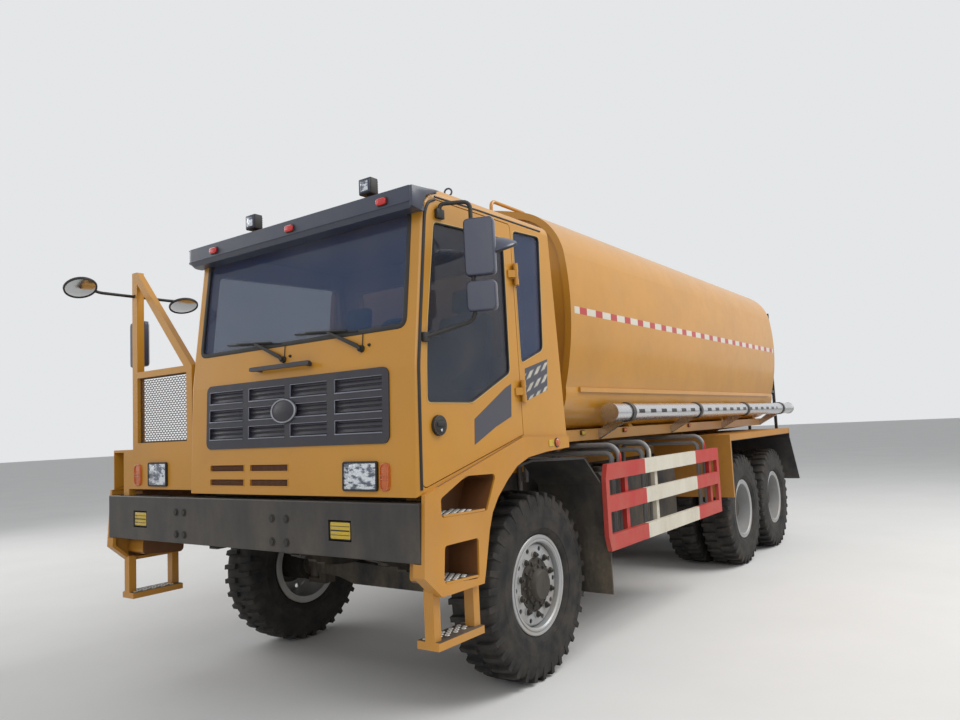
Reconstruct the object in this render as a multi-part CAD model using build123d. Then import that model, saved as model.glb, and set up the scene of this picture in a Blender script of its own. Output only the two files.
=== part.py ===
"""Off-road 6x4 water tanker truck with an offset cab.

Millimetres. +Z is up, the truck faces -Y, and its left side is +X. The origin is on the ground,
under the centre of the whole vehicle's box. The truck stands on its ten tyres.
"""
import os
from math import atan2, cos, hypot, pi, sin

from build123d import *

os.makedirs("parts", exist_ok=True)

# Whole vehicle
mirror_overhang = 520
bumper_top = 1455
bumper_width = 3300
bumper_height = 335
bumper_depth = 140
front_overhang = 1600
wheelbase = 4900
bogie_spread = 1450
rear_axle_to_frame_end = 790
frame_end_to_tube_end = 440

# Wheels
tyre_diameter = 1370
tyre_width = 375
lug_count = 24
lug_depth = 28
lug_width = 62
rim_seat_diameter = 640
rim_flange_diameter = 725
rim_width = 290
rim_wall = 14
rim_hole_count = 10
rim_hole_ring = 246
rim_hole_radius = 19
hub_radius = 150
hub_flange_radius = 188
front_outer_face = 1450
rear_outer_face = 1500
twin_gap = 80
spindle_radius = 60
running_fit = 0.08

# Steering
kingpin_x = 980
kingpin_radius = 28
knuckle_height = 220
steer_arm_length = 350
steer_arm_drop = 60
spindle_flange_radius = 105
tie_rod_radius = 26

# Axles
beam_top = 60
bowl_radius = 270
axle_tube_radius = 110
nose_front = 340
nose_rear = 300
nose_rise = 60

# Frame
cab_left = bumper_width / 2
rail_outer = 1000
rail_flange = 95
rail_height = 350
rail_gauge = 12
rail_top = 1420
frame_front = 140
frame_rear = front_overhang + wheelbase + bogie_spread + rear_axle_to_frame_end
engine_width = 700
leaf_count = 4
leaf_gauge = 18
seat_gap = 0.3
spring_end_z = 930
bogie_spring_z = 912
cab_beam_bottom = 1640
cab_mount_reach = cab_left - 250
mount_front = (200, 320)
mount_rear = (1500, 1600)
jaw_ear = 40
jaw_bore_radius = 25
jaw_setback = 10
rear_bar_half = 1200
rear_bar_z = (700, 820)

# Cab
cab_right = -540
cab_wall = 60
cab_foot = 30
cab_foot_depth = 160
cab_roof_top = 3350
corner_radius = 28
roof_edge_radius = 85

# Front corners of the cab's profile: distance behind the bumper's face, height over its top edge
cab_toe = (10, cab_foot)
cab_nose = (35, 780)
screen_sill = (60, 1000)
screen_head = (155, 1770)
cab_brow = (225, 1862)
visor_lip = (25, 1705)
visor_edge = (25, 1830)
visor_tip = (285, 1850)

# Fog lamps in the bumper
fog_lamp_x = ((-1270, -1100), (cab_left - 720, cab_left - 540))
fog_lamp_z = (-230, -120)
fog_pocket = 60
fog_setback = 6
fog_gap = 8

# Door
door_gap = 6
door_front = ((45, 75), (62, 780), (88, 1000), (186, 1795))
door_rear_foot = (1125, 345)
door_rear_head = (1085, 1800)
door_corners = (35, 110, 30)

# Glass and front panel: places across the truck, heights on the leaning face
glass_thickness = 8
glass_inset = 12
screen_x = (cab_right + 85, cab_left - 90)
screen_v = (10, 745)
screen_corner = 70
grille_x = (cab_right + 210, cab_left - 210)
grille_v = (340, 790)
grille_corner = 50
louvre_columns = ((-293, 85), (147, 519), (575, 919), (989, 1388))
louvre_rows = ((405, 488), (530, 615), (657, 742))
badge_place = (516, 574)
badge_radius = 83
headlamp_x = (cab_left - 585, cab_left - 313)
headlamp_v = (70, 232)
indicator_x = (cab_left - 291, cab_left - 212)
indicator_v = (64, 228)
vent_columns = ((-287, 89), (157, 542))
vent_rows = ((186, 227), (88, 130))
handle_x = (207, 800)
wiper_places = ((489, -85), (1208, -85))
visor_cheek = 25
work_lamp_x = (20, 1170)
work_lamp_y = 100
hinge_heights = (1450, 640)
hinge_length = 150
hinge_radius = 16
hinge_stand = 26
pin_radius = 8
seat_places = (1100, -30)
mirror_reach = 160
mirror_turn = 20
mirror_width = 230
mirror_bowl_radius = 190
mirror_rod_x = -1325
mirror_rod_radius = 12
post_x = (-1360, -1290)

# Ledge of the step panels: distances behind the bumper's face, heights over its top edge
ledge_start = 30
ledge_front = 40
ledge_knee = 1100
ledge_top = 330
ledge_end = 1710
ledge_rear = 310
floor_drop = 50

# Step panels
skin = 25
skin_lap = 2
step_depth = 250
step_corner = 24
tub_wall = 14
flange_depth = 60

# Mudguards
mudguard_inner_x = 1000
mudguard_outer_x = bumper_width / 2 - 48
rear_guard_front = 750
rear_guard_rear = 610

# Tank
tank_front = 2280
tank_rear = frame_rear - 40
tank_half_width = 1450
tank_top = 3895
tank_bottom = 1805
tank_rim = 55
manhole_y = 5200
manhole_radius = 260
manhole_height = 60
beam_height = 200
saddle_reach = tank_half_width - 270
saddle_drop = 5
saddle_count = 5
rib_rise = 340
rib_height = 40

# Hose tubes
hose_tube_radius = 80
hose_tube_x = tank_half_width + 20
hose_tube_z = tank_bottom + 135
hose_tube_front = 2850
hose_tube_rear = frame_rear + frame_end_to_tube_end
tube_bracket_count = 4

# Side guards and tanks on the frame: distances behind the bumper's face
guard_front = 2330
guard_rear = front_overhang + wheelbase - 1370
guard_outer_x = cab_left
guard_gauge = 40

# Derived places
overall_length = mirror_overhang + hose_tube_rear
bumper_y = mirror_overhang - overall_length / 2
front_axle_y = bumper_y + front_overhang
mid_axle_y = front_axle_y + wheelbase
rear_axle_y = mid_axle_y + bogie_spread
bogie_y = (mid_axle_y + rear_axle_y) / 2
tyre_radius = tyre_diameter / 2
axle_z = tyre_radius
rail_bottom = rail_top - rail_height
rail_x = rail_outer / 2
front_wheel_x = front_outer_face - tyre_width / 2
rear_outer_wheel_x = rear_outer_face - tyre_width / 2
rear_inner_wheel_x = rear_outer_wheel_x - tyre_width - twin_gap
panel_x = bumper_width / 2 + skin_lap + skin
lid_pin_z = tank_top + manhole_height
front_spring_z = axle_z + beam_top + seat_gap + (leaf_count - 1) * leaf_gauge
spring_eye_z = spring_end_z + leaf_gauge + seat_gap
bogie_spring_top = bogie_spring_z + leaf_count * leaf_gauge + seat_gap


def at(y_back, z_up=0.0):
    """Return (y, z) for a place given back from the bumper's face and up from its top edge."""
    return (bumper_y + y_back, bumper_top + z_up)


def block(x_range, y_range, z_range):
    """Return a box between two corners."""
    size = [high - low for low, high in (x_range, y_range, z_range)]
    middle = [(high + low) / 2 for low, high in (x_range, y_range, z_range)]
    return Pos(*middle) * Box(*size)


def along_x(face, x_from, x_to):
    """Return a (y, z) face on the YZ plane pushed across the truck between two x."""
    return extrude(Pos(x_from, 0, 0) * face, amount=x_to - x_from, dir=(1, 0, 0))


def along_y(face, y_from, y_to):
    """Return a (x, z) sketch pushed along the truck between two y."""
    plane = Plane(origin=(0, y_from, 0), x_dir=(1, 0, 0), z_dir=(0, -1, 0))
    return extrude(plane * face, amount=y_to - y_from, dir=(0, 1, 0))


def side_plate(points, x_from, x_to):
    """Return a plate with an outline in (y, z), between two x."""
    return along_x(Plane.YZ * Polygon(*points, align=None), x_from, x_to)


def front_plate(points, y_from, y_to):
    """Return a plate with an outline in (x, z), between two y."""
    return along_y(Polygon(*points, align=None), y_from, y_to)


def rod(start, end, radius):
    """Return a round bar from one point to another."""
    length = hypot(*[b - a for a, b in zip(start, end)])
    plane = Plane(origin=start, z_dir=Vector(*end) - Vector(*start))
    return plane * Cylinder(radius, length, align=(Align.CENTER, Align.CENTER, Align.MIN))


def bent_tube(points, radius, bend):
    """Return a round tube along straight runs with rounded corners."""
    path = FilletPolyline(*points, radius=bend)
    start = Plane(origin=path @ 0, z_dir=path % 0)
    return sweep(start * Circle(radius), path=path)


def turned(profile):
    """Return a solid turned about the X axis from (axial, radius) points."""
    return revolve(Polygon(*profile, align=None), axis=Axis.X)


def other_side(shape):
    """Return the shape mirrored to the other side of the truck."""
    return mirror(shape, about=Plane.YZ)


def both_sides(shape):
    """Return the shape and its mirror image."""
    return [shape, other_side(shape)]


def write(name, shapes, colour):
    """Write one node, made of one or more solids."""
    solids = []
    for shape in shapes if isinstance(shapes, list) else [shapes]:
        solids += shape.solids()
    node = Compound(children=solids) if len(solids) > 1 else solids[0]
    node.label = name
    node.color = Color(*colour)
    export_step(node, f"parts/{name}.step")


yellow = (0.75, 0.48, 0.10)
black = (0.06, 0.06, 0.07)
grey = (0.45, 0.46, 0.47)
steel = (0.70, 0.71, 0.72)
glass = (0.30, 0.40, 0.45)
red = (0.75, 0.08, 0.06)
amber = (0.90, 0.55, 0.05)
white = (0.85, 0.85, 0.82)


# Wheels

def tyre():
    """Return one tyre about the X axis, centred on its own middle plane, out to its lug tips."""
    half = tyre_width / 2
    seat = rim_seat_diameter / 2
    flange = rim_flange_diameter / 2 + seat_gap
    root = tyre_radius - lug_depth
    carcass = turned([
        (-rim_width / 2, seat), (-rim_width / 2, flange), (-half * 0.93, flange + 25), (-half, seat + 150),
        (-half * 0.97, root - 45), (-half * 0.78, root), (half * 0.78, root), (half * 0.97, root - 45),
        (half, seat + 150), (half * 0.93, flange + 25), (rim_width / 2, flange), (rim_width / 2, seat)])
    lug = tyre_lug(root)
    pitch = 360 / lug_count
    lugs = [Rot(pitch * number, 0, 0) * lug for number in range(lug_count)]
    lugs += [Rot(pitch * (number + 0.5), 0, 0) * other_side(lug) for number in range(lug_count)]
    return carcass + lugs


def tyre_lug(root):
    """Return the lowest lug of the outer row, from near the middle over the shoulder."""
    half = tyre_width / 2
    outline = [
        (0.06 * half, root - 8), (0.06 * half, tyre_radius), (0.80 * half, tyre_radius), (0.97 * half, root - 20),
        (0.985 * half, root - 62), (0.90 * half, root - 62), (0.72 * half, root - 8)]
    return along_y(Polygon(*[(x, -radius) for x, radius in outline], align=None), -lug_width / 2, lug_width / 2)


def rim_barrel():
    """Return the rim's barrel with its two flanges, about the X axis."""
    seat = rim_seat_diameter / 2
    flange = rim_flange_diameter / 2
    half = rim_width / 2
    lip = half + 12
    return turned([
        (-lip, seat - rim_wall), (-lip, flange), (-half - 0.3, flange), (-half - 0.3, seat - 0.3),
        (half + 0.3, seat - 0.3), (half + 0.3, flange), (lip, flange), (lip, seat - rim_wall)])


def rim_disc(offset, thickness=16):
    """Return the rim's disc with its ring of round holes, offset from the rim's middle plane."""
    outer = rim_seat_diameter / 2 - rim_wall + 2
    disc = turned([
        (offset, spindle_radius + 20), (offset, 190), (offset + 30, outer), (offset + 30 + thickness, outer),
        (offset + thickness, 190), (offset + thickness, spindle_radius + 20)])
    for number in range(rim_hole_count):
        turn = 2 * pi * (number + 0.5) / rim_hole_count
        y, z = rim_hole_ring * cos(turn), rim_hole_ring * sin(turn)
        disc -= rod((offset - 20, y, z), (offset + 60, y, z), rim_hole_radius)
    return disc


def hub(inner_end, outer_end, cap_radius, flange_from):
    """Return the hub, bored for its spindle, with its nut flange and a closed outer cap."""
    bore = spindle_radius + running_fit
    depth = outer_end - 40
    return turned([
        (inner_end, bore), (inner_end, hub_radius), (flange_from, hub_radius), (flange_from, hub_flange_radius),
        (flange_from + 16, hub_flange_radius), (flange_from + 16, hub_radius), (outer_end - 60, hub_radius),
        (outer_end, cap_radius), (outer_end, 0), (depth, 0), (depth, bore)])


def front_wheel():
    """Return the left front tyre and rim at their place."""
    place = Pos(front_wheel_x, front_axle_y, axle_z)
    hub_from = kingpin_x + 75 - front_wheel_x
    rim = rim_barrel() + rim_disc(20) + hub(hub_from, tyre_width / 2 + 5, 95, 36)
    return place * tyre(), place * rim


def twin_wheel(axle_y):
    """Return the left twin tyres and rims of one rear axle."""
    outer = Pos(rear_outer_wheel_x, axle_y, axle_z)
    inner = Pos(rear_inner_wheel_x, axle_y, axle_z)
    hub_from = rear_inner_wheel_x - 100 - rear_outer_wheel_x
    outer_rim = rim_barrel() + rim_disc(-120)
    inner_rim = rim_barrel() + rim_disc(60)
    rims = outer * outer_rim + inner * inner_rim + outer * hub(hub_from, 70, 110, -104)
    return [outer * tyre(), inner * tyre()], rims


# Axles, steering and springs

def rear_axle(axle_y):
    """Return one rear axle housing with its differential and spindles."""
    tube_end = rear_inner_wheel_x - 130
    spindle_end = rear_outer_wheel_x + 20
    half = [
        (0, 0), (0, bowl_radius), (60, bowl_radius - 8), (150, 205), (230, 125), (tube_end, axle_tube_radius),
        (tube_end, spindle_radius), (spindle_end, spindle_radius), (spindle_end, 0)]
    pad_top = bogie_spring_z - 100 + 4.7
    left = turned(half) + block((rail_x - rail_flange, rail_x), (-40, 40), (0, pad_top - axle_z))
    nose = rod((0, -nose_front, nose_rise), (0, nose_rear, nose_rise), 80)
    return Pos(0, axle_y, axle_z) * (left + other_side(left) + nose)


def front_axle():
    """Return the dropped front beam with its forked ends, bored for the kingpins."""
    fork = knuckle_height / 2 + door_gap
    ear = 45
    outline = [
        (0, -130), (430, -130), (620, -80), (kingpin_x - 75, -60), (kingpin_x - 75, 60), (620, beam_top),
        (430, beam_top), (0, 40)]
    left = front_plate([(x, axle_z + z) for x, z in outline], front_axle_y - 75, front_axle_y + 75)
    yoke = block(
        (kingpin_x - 170, kingpin_x + 50), (front_axle_y - 60, front_axle_y + 60),
        (axle_z - fork - ear, axle_z + fork + ear))
    gap = block(
        (kingpin_x - 90, kingpin_x + 60), (front_axle_y - 70, front_axle_y + 70), (axle_z - fork, axle_z + fork))
    bore = Pos(kingpin_x, front_axle_y, axle_z) * Cylinder(kingpin_radius + running_fit, 600)
    half = left + yoke - gap - bore
    return half + other_side(half)


def knuckle():
    """Return the left knuckle: kingpin, spindle and steering arm with its ball eye."""
    centre = Pos(kingpin_x, front_axle_y, axle_z)
    pin = centre * Cylinder(kingpin_radius, knuckle_height + 2 * (door_gap + 40))
    boss = centre * Cylinder(62, knuckle_height)
    spindle = rod((kingpin_x, front_axle_y, axle_z), (front_wheel_x + 120, front_axle_y, axle_z), spindle_radius)
    flange = rod((kingpin_x + 50, front_axle_y, axle_z), (kingpin_x + 68, front_axle_y, axle_z),
                 spindle_flange_radius)
    ball_x = kingpin_x
    arm_z = axle_z - steer_arm_drop
    arm = extrude(
        Plane.XY.offset(arm_z - 20) * Polygon(
            (kingpin_x - 20, front_axle_y + 40), (kingpin_x + 30, front_axle_y + 40),
            (ball_x + 35, front_axle_y + steer_arm_length), (ball_x - 35, front_axle_y + steer_arm_length),
            align=None), amount=40)
    eye = Pos(ball_x, front_axle_y + steer_arm_length, arm_z) * Cylinder(35, 40)
    ball_pin = Pos(ball_x, front_axle_y + steer_arm_length, arm_z - 55) * Cylinder(14, 110)
    return pin + boss + spindle + flange + arm + eye + ball_pin


def tie_rod():
    """Return the tie rod between the two steering arms, bored for their ball pins."""
    ball_x = kingpin_x
    rod_y = front_axle_y + steer_arm_length
    rod_z = axle_z - steer_arm_drop - 75
    bar = rod((-ball_x, rod_y, rod_z), (ball_x, rod_y, rod_z), tie_rod_radius)
    for x in (-ball_x, ball_x):
        bar += Pos(x, rod_y, rod_z) * Cylinder(38, 60)
    for x in (-ball_x, ball_x):
        bar -= Pos(x, rod_y, rod_z) * Cylinder(14 + running_fit, 120)
    return bar


def leaf_pack(centre_y, half_span, end_z, middle_z, narrow=0.82):
    """Return a pack of bowed leaves under the left rail, the longest first."""
    pack = None
    x_from = rail_x - rail_flange
    step = leaf_gauge if end_z > middle_z else -leaf_gauge
    for number in range(leaf_count):
        span = half_span * narrow ** number
        rise = (end_z - middle_z) * (span / half_span) ** 2
        low = middle_z - step * number
        arc = ThreePointArc(
            (centre_y - span, low + rise), (centre_y, low), (centre_y + span, low + rise))
        back = ThreePointArc(
            (centre_y + span, low + rise + leaf_gauge), (centre_y, low + leaf_gauge),
            (centre_y - span, low + rise + leaf_gauge))
        ends = Line(arc @ 1, back @ 0) + Line(back @ 1, arc @ 0)
        leaf = along_x(Plane.YZ * make_face(arc + back + ends), x_from, rail_x)
        pack = leaf if pack is None else pack + leaf
    return pack


def springs():
    """Return the four spring packs."""
    front = leaf_pack(front_axle_y, 780, spring_end_z, front_spring_z)
    rear = leaf_pack(bogie_y, bogie_spread / 2 + 60, bogie_spring_z - 100, bogie_spring_z)
    return both_sides(front) + both_sides(rear)


# Frame, engine and driveline

def channel_rail():
    """Return the left rail, a channel open to the middle."""
    y_range = (bumper_y + frame_front, bumper_y + frame_rear)
    rail = block((rail_x - rail_flange, rail_x), y_range, (rail_bottom, rail_top))
    hollow = block(
        (rail_x - rail_flange, rail_x - rail_gauge), y_range, (rail_bottom + rail_gauge, rail_top - rail_gauge))
    return rail - hollow


def cross_members():
    """Return the cross members between the rails, the last one with the towing jaw."""
    inner = rail_x - rail_gauge
    members = []
    # Distance behind the bumper's face, height of the middle, half depth, half height
    for y_back, z_middle, half_y, half_z in (
            (210, 1245, 60, 110), (3150, 1330, 50, 60), (4300, 1245, 50, 110),
            (front_overhang + wheelbase - 1000, 1245, 50, 110), (bogie_y - bumper_y, 1245, 110, 110)):
        y_middle = bumper_y + y_back
        members.append(block(
            (-inner, inner), (y_middle - half_y, y_middle + half_y), (z_middle - half_z, z_middle + half_z))
            - both_rails())
    y_face = bumper_y + frame_rear - jaw_setback
    last = block((-inner, inner), (y_face - 100, y_face), (1095, 1395)) - both_rails()
    return members + [last + towing_jaw(y_face)]


def both_rails():
    """Return the two rails as one shape."""
    rail = channel_rail()
    return rail + other_side(rail)


def frame_brackets():
    """Return the spring hangers, bogie brackets, mudguard stays and the legs of the cab's rear mount."""
    brackets = []
    for end in (-1, 1):
        y_end = front_axle_y + end * 745
        brackets.append(block((rail_x - 70, rail_x), (y_end - 35, y_end + 35), (spring_eye_z, rail_bottom)))
    brackets.append(side_plate(
        [(bogie_y - 260, rail_bottom), (bogie_y + 260, rail_bottom), (bogie_y + 90, bogie_spring_top),
         (bogie_y - 90, bogie_spring_top)], rail_x - rail_flange, rail_x))
    # Stays of the front mudguards: distance behind the bumper's face, lowest and highest z
    for y_back, z_low, z_high in ((780, 1380, 1425), (2060, 1560, 1600)):
        y = bumper_y + y_back
        stay = block((rail_x, mudguard_inner_x + 20), (y - 20, y + 20), (z_low, z_high)) - front_mudguard()
        brackets.append(stay + block((rail_x, rail_x + 12), (y - 20, y + 20), (rail_bottom + 100, z_high)))
    brackets.append(block(
        (rail_x - rail_flange, rail_x), (bumper_y + mount_rear[0], bumper_y + mount_rear[1]),
        (rail_top, cab_beam_bottom)))
    return brackets + [other_side(bracket) for bracket in brackets]


def cab_mounts():
    """Return the two beams that carry the cab."""
    mounts = []
    for (y_from, y_to), z_low in ((mount_front, rail_top), (mount_rear, cab_beam_bottom)):
        y_a, z_a = at(y_from, floor_rise(y_from))
        y_b, z_b = at(y_to, floor_rise(y_to))
        mounts.append(side_plate([(y_a, z_low), (y_b, z_low), (y_b, z_b), (y_a, z_a)], -rail_x, cab_mount_reach))
    return mounts


def towing_jaw(y_face):
    """Return the towing jaw on a cross member's rear face, its two ears bored for a pin."""
    jaw = block((-110, 110), (y_face, y_face + 30), (1160, 1330))
    for z_low in (1175, 1275):
        ear = block((-70, 70), (y_face + 30, y_face + 110), (z_low, z_low + jaw_ear))
        ear += Pos(0, y_face + 110, z_low + jaw_ear / 2) * Cylinder(70, jaw_ear)
        jaw += ear
    return jaw - Pos(0, y_face + 110, 1245) * Cylinder(jaw_bore_radius, 200)


def floor_rise(y_back):
    """Return how far the cab's underside lies above the bumper's top edge."""
    if y_back <= ledge_knee:
        return cab_foot + (y_back - cab_foot_depth) * (ledge_top - floor_drop - cab_foot) / (
            ledge_knee - cab_foot_depth)
    return ledge_top - floor_drop - (y_back - ledge_knee) * (ledge_top - ledge_rear) / (ledge_end - ledge_knee)


def engine():
    """Return the engine as one plain block between the rails, with its sump."""
    half = engine_width / 2
    block_y = (bumper_y + 950, bumper_y + 2250)
    upper = block((-half, half), block_y, (1000, 1500))
    sump = block((-half + 80, half - 80), (block_y[0] + 120, block_y[1]), (905, 1000))
    return upper + sump


def driveline():
    """Return the gearbox and the two propeller shafts."""
    gearbox_y = bumper_y + 2250
    box = front_plate(
        [(-250, 1000), (250, 1000), (290, 1150), (240, 1380), (-240, 1380), (-290, 1150)],
        gearbox_y, gearbox_y + 500)
    tail = rod((0, gearbox_y + 480, 1120), (0, gearbox_y + 780, 1120), 100)
    shaft_z = axle_z + nose_rise
    nose_y = mid_axle_y - nose_front - seat_gap
    long_shaft = rod((0, gearbox_y + 720, 1120), (0, nose_y - 60, shaft_z), 55)
    long_shaft += rod((0, nose_y - 120, shaft_z), (0, nose_y, shaft_z), 75)
    short_shaft = rod(
        (0, mid_axle_y + nose_rear + seat_gap, shaft_z), (0, rear_axle_y - nose_front - seat_gap, shaft_z), 55)
    return [box + tail + long_shaft, short_shaft]


# Cab

def front_plane(y_foot, z_foot, y_head, z_head):
    """Return a plane on a leaning front face, its origin at the foot and its normal forwards."""
    y_low, z_low = at(y_foot, z_foot)
    y_high, z_high = at(y_head, z_head)
    length = hypot(y_high - y_low, z_high - z_low)
    normal = (0, -(z_high - z_low) / length, (y_high - y_low) / length)
    return Plane(origin=(0, y_low, z_low), x_dir=(1, 0, 0), z_dir=normal)


def face_plane():
    """Return the plane of the cab's lower front face, measured from the bumper's top edge."""
    lean = (cab_nose[0] - cab_toe[0]) / (cab_nose[1] - cab_toe[1])
    return front_plane(cab_toe[0] - cab_foot * lean, 0, *cab_nose)


def screen_plane():
    """Return the plane of the windscreen, its origin at the sill."""
    return front_plane(*screen_sill, *screen_head)


def panel_on(plane, x_range, v_range, depth_range, corner=0.0):
    """Return a rectangle with rounded corners on a plane, between two depths along its normal."""
    width = x_range[1] - x_range[0]
    height = v_range[1] - v_range[0]
    outline = RectangleRounded(width, height, corner) if corner else Rectangle(width, height)
    middle = Pos((x_range[0] + x_range[1]) / 2, (v_range[0] + v_range[1]) / 2, 0)
    return push(plane, middle * outline, *depth_range)


def push(plane, sketch, depth_from, depth_to):
    """Return a sketch on a plane pushed between two depths along the plane's normal."""
    return extrude(plane * Pos(0, 0, depth_from) * sketch, amount=depth_to - depth_from, dir=plane.z_dir)


def cab_outline(inset):
    """Return the cab's (y, z) outline, drawn in by an inset."""
    points = [
        at(*cab_toe), at(*cab_nose), at(*screen_sill), at(*screen_head), at(*cab_brow),
        at(330, cab_roof_top - bumper_top - 8), at(1600, cab_roof_top - bumper_top),
        at(1730, floor_rise(1710)), at(ledge_knee, floor_rise(ledge_knee)), at(cab_foot_depth, cab_foot)]
    face = make_face(Polyline(*points, close=True))
    if not inset:
        return Plane.YZ * face
    return Plane.YZ * offset(face, -inset, kind=Kind.INTERSECTION)


def cab_shell():
    """Return the cab's outer block and its hollow."""
    outer = along_x(cab_outline(0), cab_right, cab_left)
    corners = outer.edges().filter_by(lambda edge: abs(edge.tangent_at(0.5).X) < 0.1).filter_by_position(
        Axis.Y, bumper_y, bumper_y + 200)
    outer = fillet(corners, corner_radius)
    outer &= along_y(roof_section(), bumper_y - 50, bumper_y + 1800)
    inner = along_x(cab_outline(cab_wall), cab_right + cab_wall, cab_left - cab_wall)
    return outer, inner


def roof_section():
    """Return the cab's (x, z) section with its rounded roof edges."""
    foot = bumper_top - 50
    section = Pos((cab_left + cab_right) / 2, (foot + cab_roof_top) / 2) * Rectangle(
        cab_left - cab_right, cab_roof_top - foot)
    return fillet(section.vertices().group_by(Axis.Y)[-1], roof_edge_radius)


def door_outline(grow=0.0):
    """Return the door's (y, z) face with its rounded corners, grown on all sides where asked."""
    face = make_face(Polyline(
        *[at(*place) for place in (*door_front, door_rear_head, door_rear_foot)], close=True))
    for place, radius in zip((door_front[0], door_front[-1], door_rear_head), door_corners):
        corner = face.vertices().sort_by_distance((*at(*place), 0))[0]
        face = fillet(corner, radius)
    if grow:
        face = offset(face, grow, kind=Kind.INTERSECTION)
    return Plane.YZ * face


def side_window(points, corner):
    """Return a window outline in (y, z) with rounded corners."""
    outline = make_face(Polyline(*[at(y, z) for y, z in points], close=True))
    return Plane.YZ * fillet(outline.vertices(), corner)


door_window = [(238, 1660), (998, 1695), (1002, 760), (555, 558), (112, 560), (122, 780), (138, 1000)]
quarter_window = [(1115, 1770), (1480, 1790), (1450, 940), (1142, 830)]
right_window = [(258, 1655), (1500, 1700), (1540, 800), (152, 800)]


def cab_panels():
    """Return the cab's panels by name, split where the real ones meet."""
    outer, inner = cab_shell()
    shell = outer - inner
    inner_left = cab_left - cab_wall
    inner_right = cab_right + cab_wall
    y_all = (bumper_y - 100, bumper_y + 2000)
    z_all = (bumper_top - 200, cab_roof_top + 200)
    left = shell & block((inner_left, cab_left + 50), y_all, z_all)
    right = shell & block((cab_right - 50, inner_right), y_all, z_all)
    middle = shell & block((inner_right, inner_left), y_all, z_all)
    roof = middle & block((inner_right, inner_left), y_all, (cab_roof_top - cab_wall - 14, z_all[1]))
    rest = middle - roof
    front = rest & block((inner_right, inner_left), (y_all[0], bumper_y + cab_foot_depth), z_all)
    front += rest & block((inner_right, inner_left), (y_all[0], bumper_y + 330), (bumper_top + 600, z_all[1]))
    rest = rest - front
    rear = rest & block((inner_right, inner_left), (bumper_y + 1500, y_all[1]), (bumper_top + 330, z_all[1]))
    floor = rest - rear

    left -= along_x(door_outline(door_gap), inner_left - 1, cab_left + 60)
    left -= along_x(side_window(quarter_window, 45), inner_left - 1, cab_left + 60)
    right -= along_x(side_window(right_window, 60), cab_right - 10, inner_right + 10)
    screen = screen_plane()
    front -= panel_on(screen, screen_x, screen_v, (-150, 60), screen_corner)
    lower = face_plane()
    front -= panel_on(lower, grille_x, grille_v, (-150, 60), grille_corner)
    front -= panel_on(lower, headlamp_x, headlamp_v, (-40, 40), 12)
    for x_from, x_to in vent_columns:
        for v_from, v_to in vent_rows:
            front -= panel_on(lower, (x_from, x_to), (v_from, v_to), (-14, 40), 8)
    rear_window = block((-300, 1400), (bumper_y + 1300, bumper_y + 1900), (bumper_top + 950, bumper_top + 1650))
    rear -= rear_window
    for z_up in hinge_heights:
        left += hinge(z_up)[1]
    return {
        "cab_front": front, "cab_floor": floor, "cab_roof": roof, "cab_rear": rear,
        "cab_side_left": left, "cab_side_right": right}


def cab_glass():
    """Return the windscreen and the quarter, right and rear windows."""
    screen = screen_plane()
    windscreen = panel_on(
        screen, screen_x, screen_v, (-glass_inset - glass_thickness, -glass_inset), screen_corner)
    quarter = along_x(
        side_window(quarter_window, 45), cab_left - glass_inset - glass_thickness, cab_left - glass_inset)
    right = along_x(
        side_window(right_window, 60), cab_right + glass_inset, cab_right + glass_inset + glass_thickness)
    rear_y = bumper_y + 1610
    rear = block((-300, 1400), (rear_y, rear_y + glass_thickness), (bumper_top + 950, bumper_top + 1650))
    return [windscreen, quarter, right, rear]


def sun_visor():
    """Return the dark visor over the windscreen, wrapped round the cab's front corners."""
    outer, _ = cab_shell()
    lip, edge, tip = at(*visor_lip), at(*visor_edge), at(*visor_tip)
    points = [lip, edge, tip, at(visor_tip[0], screen_head[1]), at(screen_head[0], visor_lip[1] - 15)]
    cheek = [lip, edge, tip, at(screen_head[0], screen_head[1] + 25), at(103, visor_lip[1] - 13)]
    visor = side_plate(points, cab_right, cab_left)
    visor += side_plate(cheek, cab_right - visor_cheek, cab_left + visor_cheek)
    return visor - outer


def grille():
    """Return the louvred grille plate with its blank round badge, and the grab bar above it."""
    lower = face_plane()
    plate = panel_on(lower, grille_x, grille_v, (-22, 10), grille_corner)
    for x_range in louvre_columns:
        for v_from, v_to in louvre_rows:
            plate -= panel_on(lower, x_range, (v_from, v_to), (-10, 20))
            for slot in (12, 46):
                plate -= panel_on(
                    lower, (x_range[0] + 12, x_range[1] - 12), (v_from + slot, v_from + slot + 24), (-40, 20))
    badge = push(lower, Pos(*badge_place) * Circle(badge_radius), -15, 16)
    return plate + badge


def front_handle():
    """Return the black grab bar under the windscreen."""
    plane = front_plane(*cab_nose, *screen_sill)
    bar = panel_on(plane, handle_x, (68, 96), (40, 62), 10)
    for x in (handle_x[0] + 50, handle_x[1] - 50):
        bar += panel_on(plane, (x - 14, x + 14), (70, 94), (0, 50))
    return bar


def wipers():
    """Return the two parked wipers."""
    plane = screen_plane()
    pieces = []
    for x_pivot, v_pivot in wiper_places:
        pivot = push(plane, Pos(x_pivot, v_pivot) * Circle(22), -0.5, 34)
        arm = push(plane, Polygon(
            (x_pivot - 12, v_pivot), (x_pivot + 12, v_pivot), (x_pivot - 300, v_pivot + 140),
            (x_pivot - 312, v_pivot + 123), align=None), 18, 30)
        blade = push(plane, Polygon(
            (x_pivot - 620, v_pivot + 167), (x_pivot - 620, v_pivot + 147), (x_pivot - 40, v_pivot + 101),
            (x_pivot - 40, v_pivot + 121), align=None), 2, 20)
        pieces.append(pivot + arm + blade)
    return pieces


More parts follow.
